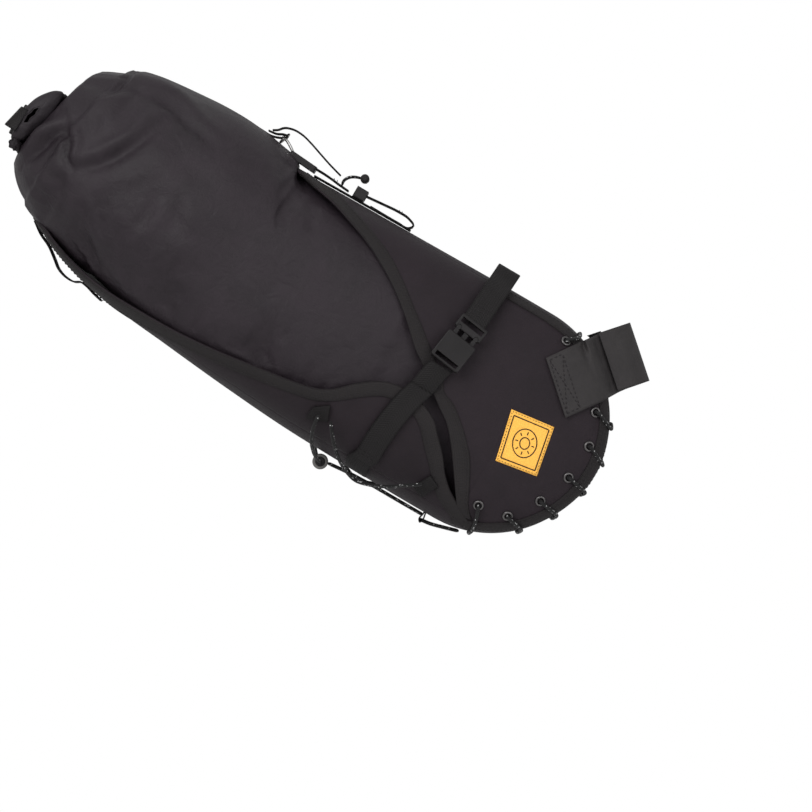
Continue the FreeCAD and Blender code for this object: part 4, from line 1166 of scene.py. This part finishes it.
def post_straps():
    rows = []
    right = strap_grid(RIGHT, [(0.5, -17.6)], 110)
    left_tail = wrap_points((84, 67, 50, 34, 18, 0, -18, -36, -52))
    left = strap_grid(LEFT, left_tail + [(4.5, -19.9), (-3, -22.1), (-10.5, -23.2)], 260)
    for side, grid, names, body in (
            (RIGHT, right, ("post_strap_right", "post_patch_right"), "holster"),
            (LEFT, left, ("post_strap_left", "post_patch_left", "post_strap_flap"),
             ("holster", "post_flap", HINGE_START, HINGE_END))):
        normals = strap_normals(grid, side)
        sheet(f"seatpost_strap_{SIDE_NAME[side]}", grid, 1.6, POST_STRAP, body, frame_of=post,
              outward=normals, replaces=names)
        rate = length_of(grid[:, STRAP_LINES // 2]) / (len(grid) - 1)
        a, b, c, d = [(i / rate, j) for i in (2.2, 14.0) for j in (1.2, 20.8)]
        for start, end in ((a, b), (c, d), (a, c), (b, d), (a, d), (b, c)):
            rows.append(thread_line(grid, normals, start, end, 30))
    stitches("strap_box_stitches", rows, "strap_hypalon", frame_of=post, length=2.6, gap=0.9,
             radius=0.34)


def hinge_point(along):
    """A point on the strap's bend line, moved along the strap."""
    turn = math.radians(28.5)
    x = 16.85 * math.cos(turn) + along * math.sin(turn)
    y = 16.85 * math.sin(turn) - along * math.cos(turn)
    return tuple(float(v) for v in post((x, y, 0.0)))


HINGE_START, HINGE_END = hinge_point(-3.0), hinge_point(3.0)


PAD_RADIUS = 17.6
PAD_HALF = 23.0                    # half height
PAD_TURN = 62                      # degrees that it reaches to each side
LIP_START = 20.0


def post_pad():
    """Grippy pad between the nose and the post, ribbed, with a lip at both ends."""
    z = np.linspace(-PAD_HALF, PAD_HALF, 60)
    k = np.arange(60)
    rib = np.where((k > 4) & (k < 55), 0.25 * np.sin(k * 1.6), 0.0)
    lip = 1.6 * np.maximum(0.0, (np.abs(z) - LIP_START) / (PAD_HALF - LIP_START)) ** 2
    r = PAD_RADIUS + rib + lip
    turns = np.radians(np.linspace(180 - PAD_TURN, 180 + PAD_TURN, 60))
    grid = np.array([np.column_stack([r * math.cos(a), r * math.sin(a), z]) for a in turns])
    sheet("ribbed_post_pad", grid, 1.7, RUBBER, frame_of=post, outward=unit(grid * (1, 1, 0)),
          replaces=("post_pad",))


def hook_patch():
    """Hook tape under the strap's free end."""
    grid = [[(x, -20.05 - 0.05 * math.sin(3.1 * i + 1.7 * j), z)
             for j, z in enumerate(np.linspace(-25, 19, 30))]
            for i, x in enumerate(np.linspace(-8, -2, 14))]
    sheet("hook_tape_patch", grid, 0.8, HOOK_SIDE, frame_of=post,
          outward=np.array((0.0, -1.0, 0.0)), replaces=("hook_patch",))


post_straps()
post_pad()
hook_patch()


# ------------------------------------------------------------------ base cord and rear loop

CORD_TABS = [[(-128, -66), (-117, -58), (-112, -70), (-129, -76)],
             [(-27, -80), (-20, -66), (-10, -70), (-17, -84)]]
# Elastic cord under the base: place along the bag, distance out, height.
CORD_REAR = [(-121, 72.5, -70), (-120, 67, -79), (-117, 56, -89), (-111, 38, -97.5),
             (-106, 20, -101.5), (-102.5, 6, -103.2), (-102, 0, -103.4)]
CORD_MIDDLE = [(-110, 74, -70), (-103, 68, -79), (-92, 56, -90.5), (-80, 42, -98),
               (-68, 30, -101), (-58, 36, -98.3), (-44, 49, -91.5), (-32, 59, -83),
               (-22, 62, -76)]


def tab_grid(outline, side):
    corners = np.array(outline, float)
    return np.array([[holster.side(*patch_spot(corners, u, v), side, 2.9)
                      for v in np.linspace(0, 1, 12)] for u in np.linspace(0, 1, 14)])


def cord_tabs():
    rows = []
    for index, outline in enumerate(CORD_TABS):
        for side in (RIGHT, LEFT):
            grid = tab_grid(outline, side)
            first = index == 0 and side == RIGHT
            sheet(f"cord_tab_{index}_{SIDE_NAME[side]}", grid, 1.6, WEBBING,
                  replaces=("cord_tabs",) if first else ())
            for share in (0.25, 0.75):
                j = share * 11
                rows.append(thread_line(grid, grid_normals(grid), (1, j), (12, j), 12))
    stitches("cord_tab_stitches", rows, "webbing", length=1.8, gap=0.7, radius=0.26)


def base_cord():
    paths = [[(x, side * y, z) for x, y, z in way]
             for side in (RIGHT, LEFT) for way in (CORD_REAR, CORD_MIDDLE)]
    paths.append([(-96, -2, -101), (-80, -2, -99.4), (-60, -2, -98.4), (-34, -2, -98.2),
                  (-8, -2, -98)])
    for y in (-2.0, 2.0):
        paths.append([(-9, y, -102.5), (0, y, -101.4), (12, y, -98.2), (24, y, -94.6)])
    cord("base_elastic", paths, 1.5, "base_cord")
    tab = [(-8.5, -87), (-8.6, -96), (-9.0, -103.6), (-7.2, -105.0), (-5.9, -103.4),
           (-6.2, -95), (-6.4, -90)]
    strap("base_cord_tab", on_middle(tab), 14, 1.1, spacing=1.0)


REAR_LOOP = [(-401, -51.5), (-391, -58.6), (-381, -63.4), (-371, -70.6), (-365, -75.2),
             (-355, -78.2), (-349, -77.9), (-344.5, -75.4), (-338, -75.9), (-330, -78.2),
             (-322, -80.0)]


def rear_loop():
    strap("light_loop", on_middle(REAR_LOOP), 20, -1.4, replaces=("rear_loop",), spacing=1.4)


cord_tabs()
base_cord()
rear_loop()


# ------------------------------------------------------------------ top straps

# Paths along the bag's middle, as (x, height): name, width, thickness, spacing, body, the piece
# replaced, and the path.
MIDDLE_STRAPS = [
    ("top_strap", 20, 1.4, 2.0, "holster", "top_webbing",
     [(-224, 94.2), (-212, 94.4), (-200, 94.6), (-180, 94.9), (-160, 95.2), (-142, 95.4),
      (-134, 95.4)]),
    ("tension_strap", 20, 1.4, 2.0, "holster", "tension_webbing",
     [(-231.5, 99.4), (-226, 99.7), (-219, 99.7), (-211, 99.2), (-203, 98.3), (-194, 97.6)]),
    ("tail_strap", 20, 1.4, 1.2, "holster", "tail_loop",
     [(-182, 101.0), (-176, 101.6), (-163, 102.9), (-150, 103.9), (-140, 103.2),
      (-134.6, 100.4), (-136.5, 97.9), (-146, 97.2), (-160, 97.1), (-172, 97.2)]),
    ("ring_tab", 14, 1.2, 1.2, "dry_bag_body", "dry_bag_tab",
     [(-303, 104.6), (-292, 105.2), (-280, 105.0), (-270, 105.0), (-263.5, 107.2),
      (-258.8, 110.2), (-258.6, 112.4), (-262.5, 112.2), (-268, 109.6), (-275, 108.6)]),
    ("pull_tail", 10, 1.3, 1.2, "dry_bag_body", "dry_bag_tail",
     [(-272, 109.4), (-268, 112), (-265, 115.5), (-259, 118), (-250, 118.3), (-240, 115.9),
      (-230, 112.6), (-219, 109.0), (-206, 105.4)])]


def top_straps():
    for name, width, ply, spacing, body, replaced, way in MIDDLE_STRAPS:
        strap(name, on_middle(way), width, ply, body, spacing=spacing, replaces=(replaced,))
    rows = []
    for x, z in ((-150, 105.6), (-147.5, 105.6), (-206, 100.9), (-209, 100.9)):
        p = np.array([(x, y, z) for y in TACK_ACROSS])
        rows.append((p, np.tile((0.0, 0.0, 1.0), (12, 1))))
    stitches("top_bar_tacks", rows, "webbing", length=1.6, gap=0.5, radius=0.34)


def toggle_loop():
    half = [(-201, 3.4, 99.8), (-201.6, 4.2, 103.5), (-199, 3.8, 108.5), (-194.5, 2.6, 111.4)]
    path = half + [(-190.8, 0, 112.6)] + [(x, -y, z) for x, y, z in half[::-1]]
    cord("toggle_elastic", [path], 1.05, "toggle_cord")


top_straps()
toggle_loop()


# ------------------------------------------------------------------ dry bag

# Sections from the flat rear end to the hidden front: place, lean (mm back per mm down),
# top, bottom, half width, squareness.
BAG_ROWS = [
    (-426.5, 0.232, 80.0, -21.0, 58, 2.5), (-418.5, 0.20, 84.5, -31.5, 65, 2.4),
    (-408.5, 0.15, 88.6, -40.5, 70.5, 2.35), (-393, 0.08, 94.3, -48.0, 75.5, 2.3),
    (-370, 0.03, 99.6, -56.0, 79.5, 2.3), (-340, 0.0, 102.6, -65.5, 82.5, 2.3),
    (-305, 0.0, 105.8, -74.0, 84.5, 2.3), (-275, 0.0, 104.4, -78.4, 84.0, 2.35),
    (-258, 0.0, 101.4, -80.2, 83.0, 2.45), (-247, 0.0, 98.4, -81.3, 82.4, 2.55),
    (-239, 0.0, 94.8, -82.0, 81.6, 2.6), (-228, 0.0, 90.6, -83.0, 80.6, 2.65),
    (-215, 0.0, 89.4, -84.6, 79.6, 2.75), (-180, 0.0, 89.4, -86.8, 77.0, 2.8),
    (-140, 0.0, 89.6, -89.0, 74.0, 2.8), (-100, 0.0, 89.0, -90.2, 69.8, 2.7),
    (-70, 0.0, 86.0, -90.0, 64.5, 2.6), (-40, 0.0, 80.0, -88.5, 56, 2.5),
    (0, 0.0, 68.0, -84.0, 45, 2.4), (35, 0.0, 45.0, -70.0, 33, 2.3),
    (58, 0.0, 18, -46, 20, 2.2)]
LOWER_FULLNESS = 0.75              # the bag is squarer where the base cradles it
REAR_CLOSE = [(0.985, -0.6), (0.94, -1.8), (0.8, -2.6), (0.55, -3.2), (0.25, -3.6), (0.02, -3.8)]
FRONT_CLOSE = [(0.9, 2.5), (0.65, 5.0), (0.35, 6.5), (0.02, 7.0)]


def bag_form(count, around):
    """Grid of the dry bag's outside: rows from the rear end's middle to the front."""
    knots = [(i,) + row for i, row in enumerate(BAG_ROWS)]
    gaps = np.cumsum([0] + [abs(b[0] - a[0]) + 2 for a, b in zip(BAG_ROWS, BAG_ROWS[1:])])
    at = np.interp(np.linspace(0, gaps[-1], count), gaps, range(len(BAG_ROWS)))
    theta = np.linspace(0, 2 * math.pi, around, endpoint=False)
    rise, across = np.cos(theta), np.sin(theta)
    grid = []
    for x, lean, top, bottom, width, upper in hermite(knots, at):
        full = np.clip((x + 432) / 50, 0, 1) * np.clip((-190 - x) / 60, 0, 1)
        square = upper + LOWER_FULLNESS * np.clip(-rise * 2.0, 0, 1) * full
        up = (top - bottom) / 2 * np.sign(rise) * np.abs(rise) ** (2 / square)
        y = width * np.sign(across) * np.abs(across) ** (2 / square)
        grid.append(np.stack([x + lean * up, y, (top + bottom) / 2 + up], -1))
    first, last = grid[0], grid[-1]
    for scale, back in REAR_CLOSE:
        grid.insert(0, between(first.mean(0), first, scale) + (back, 0, -0.2 * back))
    for scale, ahead in FRONT_CLOSE:
        grid.append(between(last.mean(0), last, scale) + (ahead, 0, 0))
    return np.array(grid)


# Creases in the side view: the valley's line, its width, its depth, and the ridge above it.
CREASES = [
    ([(-413, 66), (-400, 68), (-377, 80), (-351, 84), (-321, 76), (-291, 73)], 5.5, 4.6, 0.7),
    ([(-398, 60), (-383, 74), (-352, 92)], 6.0, -2.2, 0.0),
    ([(-428, -18), (-423, -4), (-416, 16), (-409, 25)], 4.5, 6.0, 0.9),
    ([(-413, 30), (-408, 22), (-401, 15), (-397, 5), (-388, -2)], 3.6, 5.0, 0.9),
    ([(-431, 4), (-424, 14), (-417, 20)], 4.0, -2.6, 0.0),
    ([(-389, -4), (-370, 15), (-356, 39), (-348, 60), (-341, 71)], 5.5, 4.6, 0.8),
    ([(-362, 0), (-344, 18), (-330, 32)], 6.0, -1.5, 0.0),
    ([(-320, 15), (-318, -2), (-321, -20)], 5.0, 1.7, 0.7),
    ([(-304, 21), (-297, 9), (-290, -4)], 5.5, 1.8, 0.7),
    ([(-253, 88), (-243, 78), (-236, 64), (-228, 52)], 7.5, 1.7, 0.6),
    ([(-214, 73), (-200, 55), (-181, 36)], 5.5, 1.5, 0.6),
    ([(-345, 66), (-318, 52), (-286, 44), (-262, 40)], 13.0, 1.8, 0.3),
    ([(-405, -36), (-380, -40), (-350, -50), (-310, -60)], 8.0, 1.6, 0.5),
    ([(-420, 50), (-405, 44), (-390, 40)], 5.0, 1.5, 0.6),
    ([(-300, -30), (-262, -24), (-225, -28)], 9.0, 1.1, 0.5),
    ([(-245, 20), (-215, 6), (-180, -2)], 8.0, 1.0, 0.6)]
CREASE_SHIFT = {RIGHT: (0.0, 0.0), LEFT: (9.0, -6.0)}


def crease_field(points, normals, side):
    """Displacement along the normal that the creases give points on one side."""
    x, z = points[..., 0], points[..., 2]
    move = np.zeros(x.shape)
    for line, width, depth, ridge in CREASES:
        way = smooth_line(np.array(line, float) + CREASE_SHIFT[side], 40)
        d = np.hypot(x[..., None] - way[:, 0], z[..., None] - way[:, 1])
        near = d.argmin(-1)
        away = np.take_along_axis(d, near[..., None], -1)[..., 0]
        t = unit(np.gradient(way, axis=0))
        off_x, off_z = x - way[near, 0], z - way[near, 1]
        above = np.sign(t[near, 0] * off_z - t[near, 1] * off_x)
        fade = np.sin(np.pi * np.clip(near / 39.0, 0.02, 0.98)) ** 0.6
        fade = fade * np.exp(-np.maximum(0, away - 4 * width) / width)
        crest = np.exp(-((away * above - 1.7 * width) / (1.1 * width)) ** 2)
        move += depth * fade * (ridge * crest - np.exp(-(away / width) ** 2))
    return move * np.clip(side * normals[..., 1] * 2.2, 0, 1)


def ripples(points, seed, scale, size):
    """Soft random ripples made of a few waves."""
    draw = random.Random(seed)
    out = np.zeros(points.shape[:-1])
    for _ in range(9):
        way = unit(np.array([draw.uniform(-1, 1) for _ in range(3)]))
        length = draw.uniform(0.7, 1.8) * scale
        out += np.sin((points @ way) * 2 * math.pi / length + draw.uniform(0, 6.28))
    return out * size / 3.0


def corner_gathers(grid):
    """Small pleats that fan out from the rear end's edge."""
    x = grid[..., 0]
    middle = np.arctan2(grid[..., 1], grid[..., 2] - 28)
    near = np.clip((x + 372) / -40, 0, 1) ** 1.5 * np.clip((x + 424) / 14, 0.35, 1)
    wave = np.sin(middle * 17 + 1.3 * np.sin(middle * 5)) + 0.5 * np.sin(middle * 31 + 0.8)
    return 0.55 * near * wave


def ring_normals(grid):
    before, after = np.roll(grid, 1, axis=1), np.roll(grid, -1, axis=1)
    n = unit(np.cross(np.gradient(grid, axis=0), after - before))
    mid = grid[len(grid) // 2]
    sign = np.sign((n[len(grid) // 2] * (mid - mid.mean(0))).sum())
    return n * sign


def upsample(field, rows, cols):
    """A periodic field on the coarse grid, read on a finer one."""
    f = np.concatenate([field, field[:, :1]], axis=1)
    a = np.linspace(0, f.shape[0] - 1, rows)
    b = np.linspace(0, f.shape[1] - 1, cols, endpoint=False)
    i = np.minimum(a.astype(int), f.shape[0] - 2)
    j = np.minimum(b.astype(int), f.shape[1] - 2)
    fa, fb = (a - i)[:, None, None], (b - j)[None, :, None]
    return ((f[i][:, j] * (1 - fa) + f[i + 1][:, j] * fa) * (1 - fb)
            + (f[i][:, j + 1] * (1 - fa) + f[i + 1][:, j + 1] * fa) * fb)


BAG_GRID = (190, 224)              # rows along the bag, points round it
SIM_GRID = (96, 112)
BAG_GIRTH = 480.0
SIM_FRAMES = 20
SIM_LIMIT = 5.0                    # mm that the simulated cloth may move
SIM_CLOTH = {"quality": 4, "mass": 0.15, "tension_stiffness": 12, "compression_stiffness": 12,
             "shear_stiffness": 4, "bending_stiffness": 0.35, "air_damping": 2.0,
             "use_pressure": True, "uniform_pressure_force": 3.0, "shrink_min": -0.035,
             "vertex_group_mass": "held"}


def simulate(grid, pinned):
    """How far each point of a closed grid of cloth moves when it is filled and settles."""
    rows, cols = grid.shape[:2]
    mesh = bpy.data.meshes.new("cloth_rest")
    mesh.from_pydata([tuple(v) for v in bag(grid.reshape(-1, 3))], [], tube_faces(rows, cols))
    joined(mesh, 0)
    obj = bpy.data.objects.new("cloth_rest", mesh)
    scene = bpy.context.scene
    scene.collection.objects.link(obj)
    group = obj.vertex_groups.new(name="held")
    group.add(np.flatnonzero(pinned.ravel()).tolist(), 1.0, "REPLACE")
    cloth = obj.modifiers.new("cloth", "CLOTH")
    for key, value in SIM_CLOTH.items():
        setattr(cloth.settings, key, value)
    cloth.settings.effector_weights.gravity = 0
    cloth.collision_settings.use_collision = False
    cloth.point_cache.frame_start, cloth.point_cache.frame_end = 1, SIM_FRAMES
    for f in range(1, SIM_FRAMES + 1):
        scene.frame_set(f)
    done = obj.evaluated_get(bpy.context.evaluated_depsgraph_get())
    result, rest = np.empty(grid.size), np.empty(grid.size)
    done.data.vertices.foreach_get("co", result)
    mesh.vertices.foreach_get("co", rest)
    bpy.data.objects.remove(obj)
    scene.frame_set(1)
    x, y, z = ((result - rest) / MM).reshape(grid.shape).transpose(2, 0, 1)
    c, s = math.cos(TILT), math.sin(TILT)
    move = np.stack([x * c - z * s, y, x * s + z * c], -1)
    far = np.linalg.norm(move, axis=-1, keepdims=True)
    return np.nan_to_num(move * np.minimum(1, SIM_LIMIT / np.maximum(far, 1e-6)))


def smooth_step(t):
    t = np.clip(t, 0, 1)
    return t * t * (3 - 2 * t)


def kept_inside(points, clearance):
    """The dry bag's points, held just within the holster's cloth wherever that covers it."""
    x, y, z = points[..., 0], points[..., 1], points[..., 2]
    _, top, bottom, width, square = holster.rows(np.clip(x, -362, 0))
    level = np.clip(np.abs(2 * z - top - bottom) / (top - bottom), 0, 0.985)
    limit = width * (1 - level ** square) ** (1 / square) - clearance
    over = np.abs(y) - limit
    below_top = np.maximum(smooth_step((88 - z) / 30), smooth_step((x + 262) / 32))
    sides = smooth_step((x + 285) / 50) * below_top
    cradled = smooth_step((-36 - z) / 14) * smooth_step((x + 386) / 30)
    share = np.maximum(sides, cradled)
    held = points.copy()
    held[..., 1] = y - np.sign(y) * np.minimum(share * (over + np.hypot(over, 2.0)) / 2, np.abs(y))
    held[..., 2] = np.where(x > -238, np.minimum(z, top - clearance), z)
    return held


def bag_lift(points):
    """How far ripples, creases and pleats raise the dry bag's cloth, and where it is held."""
    x, z = points[..., 0], points[..., 2]
    normals = ring_normals(points)
    lift = ripples(points, 5, 75.0, 0.55) + ripples(points, 8, 34.0, 0.22)
    lift = lift * np.clip((-60 - x) / 60, 0, 1)
    for side in (RIGHT, LEFT):
        lift = lift + crease_field(points, normals, side)
    lift = lift + corner_gathers(points)
    covered = np.clip((x + 250) / 25, 0, 1) * np.clip((np.abs(z) - 45) / 30, 0, 1)
    lift = np.minimum(lift, 0.6 + 0.12 * np.clip(-245 - x, 0, 80)) - 0.6 * covered
    lift = np.minimum(lift, 0.8 + 0.25 * np.clip(z + 42, 0, 80))
    lift[:6] *= 0.5
    return normals * lift[..., None]


def dry_bag():
    fine = bag_form(BAG_GRID[0], BAG_GRID[1])
    coarse = bag_form(SIM_GRID[0], SIM_GRID[1])
    pinned = (coarse[..., 0] > -95) | (coarse[..., 2] < -62)
    pinned[:9] = True
    keep = np.clip((-60 - coarse[..., 0]) / 60, 0, 1)[..., None]
    fine = fine + upsample(simulate(coarse, pinned) * keep, len(fine), BAG_GRID[1])
    skin = kept_inside(fine + bag_lift(fine), CLOTH + 0.9)
    along = np.diff(skin, axis=0)
    along = np.concatenate([[0], np.cumsum(np.linalg.norm(along, axis=-1).mean(1))])
    around = np.arange(BAG_GRID[1]) / BAG_GRID[1] * BAG_GIRTH
    loop_sweep("filled_dry_bag", skin, BAG_CLOTH, "dry_bag_body", uvs=uv_mesh(along, around),
               replaces=("dry_bag",))


# ------------------------------------------------------------------ rolled neck

ROLL_HEIGHT = 29.5                 # half height of the flattened roll
ROLL_DEPTH = 7.0
ROLL_TURNS = 1.7
ROLL_MIDDLE = (-434.4, 20.0)
ROLL_LEAN = 0.232


def roll_profile():
    """Flattened spiral of cloth, as one closed outline of (depth, height)."""
    outer, inner = [], []
    for a in np.linspace(0, ROLL_TURNS * 2 * math.pi, 150):
        shrink = 2.4 * a / (2 * math.pi)
        high, deep = ROLL_HEIGHT - 1.8 * shrink, ROLL_DEPTH - shrink
        for way, less in ((outer, 0.0), (inner, 1.0)):
            r_high, r_deep = high - less, max(deep - less, 0.25)
            way.append((-r_deep * math.cos(a - 0.6), r_high * math.sin(a - 0.6)))
    return np.array(outer + inner[::-1])


def roll_top():
    depth, height = roll_profile().T
    rings = []
    for y in np.linspace(-60, 60, 121):
        share = abs(y) / 60
        back = 6.0 * np.clip((share - 0.5) / 0.5, 0, 1) ** 1.5
        pinch = math.sqrt(1 - 0.9 * np.clip((share - 0.86) / 0.14, 0, 1) ** 2)
        swell = 1 + 0.05 * math.sin(y * 0.34 + 0.6) + 0.035 * math.sin(y * 0.83 + 2.0)
        high = height * pinch * (1 + 0.02 * math.sin(y * 0.5))
        deep = depth * swell * pinch * (1 + 0.75 * share ** 3)
        pleat = 0.35 * share ** 2 * np.sin(height * 0.3 + 0.5 * math.sin(y * 0.2))
        x = ROLL_MIDDLE[0] - back + deep + pleat + ROLL_LEAN * high
        rings.append(np.column_stack([x, np.full(len(x), y), ROLL_MIDDLE[1] + high]))
    loop_sweep("rolled_neck", rings, ROLL_CLOTH, "roll", replaces=("roll_top",))


def neck_gather():
    """Bunched cloth under the roll."""
    a = np.arange(28) * math.pi / 14
    rings = []
    for y in np.linspace(-56, 56, 80):
        share = abs(y) / 56
        ruffle = 1 + 0.12 * np.sin(5 * a + y * 0.7) + 0.08 * np.sin(y * 1.3 + 2 * a)
        x = -433.6 - 9.0 * share ** 3 + 4.4 * ruffle * np.cos(a) * (1 - 0.3 * share)
        rings.append(np.column_stack([x, np.full(28, y), 4.2 * ruffle * np.sin(a) - 7.2]))
    loop_sweep("neck_gather", rings, ROLL_CLOTH, "roll")


def roll_straps():
    ends = [(-450.1, 42), (-452.4, 50), (-452.6, 54.5), (-449.4, 58.2), (-444.8, 59.4)]
    right = [(-449.6, -22), (-449.4, -32)] + [(x, -y) for x, y in ends]
    left = [(-449.6, 7), (-449.5, 18), (-449.4, 32)] + ends
    start, end = (tuple(float(v) for v in bag((-450, y, 12))) for y in (48, 12))
    for name, way, ply, body in (("roll_strap_right", right, 1.3, "roll"),
                                 ("roll_strap_left", left, -1.3,
                                  ("roll", "roll_plug", start, end))):
        strap(name, [(x, y, 12) for x, y in way], 20, ply, body, spacing=1.2,
              across=unit((ROLL_LEAN, 0.0, 1.0)))


dry_bag()
roll_top()
neck_gather()
roll_straps()


# ------------------------------------------------------------------ carried-over hardware

def dress(material, bevel, *nodes):
    """Give a carried-over node its material and soft moulded edges."""
    for node in nodes:
        obj = bpy.data.objects[node]
        for slot in obj.material_slots:
            slot.material = material
        if bevel:
            edge = obj.modifiers.new("moulded_edges", "BEVEL")
            edge.width, edge.segments = bevel * MM, 2
            edge.limit_method, edge.angle_limit = "ANGLE", math.radians(50)


PLASTIC_NODES = ["ladder_lock", "keeper", "toggle_barrel", "toggle_button", "cord_lock_button"]
for prefix in ("buckle_right", "buckle_left", "roll_buckle"):
    PLASTIC_NODES += [f"{prefix}_{part}" for part in ("socket", "plug", "arm_a", "arm_b")]
dress(PLASTIC, 0.35, *PLASTIC_NODES)
dress(GREY_PLASTIC, 0.3, "cord_lock")
dress(WIRE, 0, "top_hook", "dry_bag_ring")
dress(WING_CLOTH, 0, "base_stiffener")
stitches("seam_stitches", stitch_lines, "binding_tape")


# ------------------------------------------------------------------ stage, light and camera

AIM = Vector((-0.1728, 0.0, -0.0416))
FLOOR_RADIUS = 6.0
FLOOR_HEIGHT = -1.1
AMBIENT = 0.62                     # strength of the pale surroundings as they light the bag
FLOOR_GLOW = 0.2                   # how much paler the floor is to the camera than by its light


def stage():
    bpy.ops.mesh.primitive_circle_add(vertices=96, radius=FLOOR_RADIUS, fill_type="NGON",
                                      location=(0, 0, FLOOR_HEIGHT))
    floor = bpy.context.object
    floor.name = "pale_floor"
    g = Graph("floor_paint", "Object")
    patches = g.noise(1.5, 3, 0.5)
    g.finish(g.mix(patches, (0.86, 0.86, 0.86), (0.9, 0.9, 0.9)), 0.8)
    seen = g.nodes.new("ShaderNodeLightPath").outputs["Is Camera Ray"]
    g.shader.inputs["Emission Color"].default_value = (1.0, 1.0, 1.0, 1.0)
    g.links.new(g.math("MULTIPLY", seen, FLOOR_GLOW), g.shader.inputs["Emission Strength"])
    floor.data.materials.append(g.mat)
    world = bpy.data.worlds.new("pale_world")
    world.use_nodes = True
    nodes, links = world.node_tree.nodes, world.node_tree.links
    back = nodes["Background"]
    back.inputs["Color"].default_value = (1.0, 1.0, 1.0, 1.0)
    seen = nodes.new("ShaderNodeLightPath").outputs["Is Camera Ray"]
    strength = nodes.new("ShaderNodeMapRange")
    links.new(seen, strength.inputs[0])
    strength.inputs[3].default_value = AMBIENT
    strength.inputs[4].default_value = 1.0
    links.new(strength.outputs[0], back.inputs["Strength"])
    bpy.context.scene.world = world


def area_light(name, where, size, power):
    """A soft rectangular light that faces the bag."""
    data = bpy.data.lights.new(name, "AREA")
    data.shape = "RECTANGLE"
    data.size, data.size_y = size
    data.energy = power
    obj = bpy.data.objects.new(name, data)
    obj.location = where
    obj.rotation_euler = (AIM - Vector(where)).to_track_quat("-Z", "Y").to_euler()
    bpy.context.scene.collection.objects.link(obj)


CAMERA_DISTANCE = 3.0
VIEW_WIDTH = 0.6618


def camera():
    data = bpy.data.cameras.new("side_view")
    data.sensor_width = 36.0
    data.lens = data.sensor_width * CAMERA_DISTANCE / VIEW_WIDTH
    data.clip_end = 40
    obj = bpy.data.objects.new("side_view", data)
    obj.location = AIM + Vector((0, -CAMERA_DISTANCE, 0))
    obj.rotation_euler = (math.pi / 2, 0, 0)
    bpy.context.scene.collection.objects.link(obj)
    bpy.context.scene.camera = obj


# Lights: name, place, size and power.
LIGHTS = [("soft_key", (-0.9, -1.7, 0.9), (1.4, 1.0), 30),
          ("soft_fill", (1.1, -1.6, 0.1), (1.2, 1.2), 12),
          ("top_strip", (-0.3, 0.2, 1.6), (1.6, 0.7), 3)]

stage()
for light in LIGHTS:
    area_light(*light)
camera()
bpy.context.scene.view_settings.view_transform = "Standard"
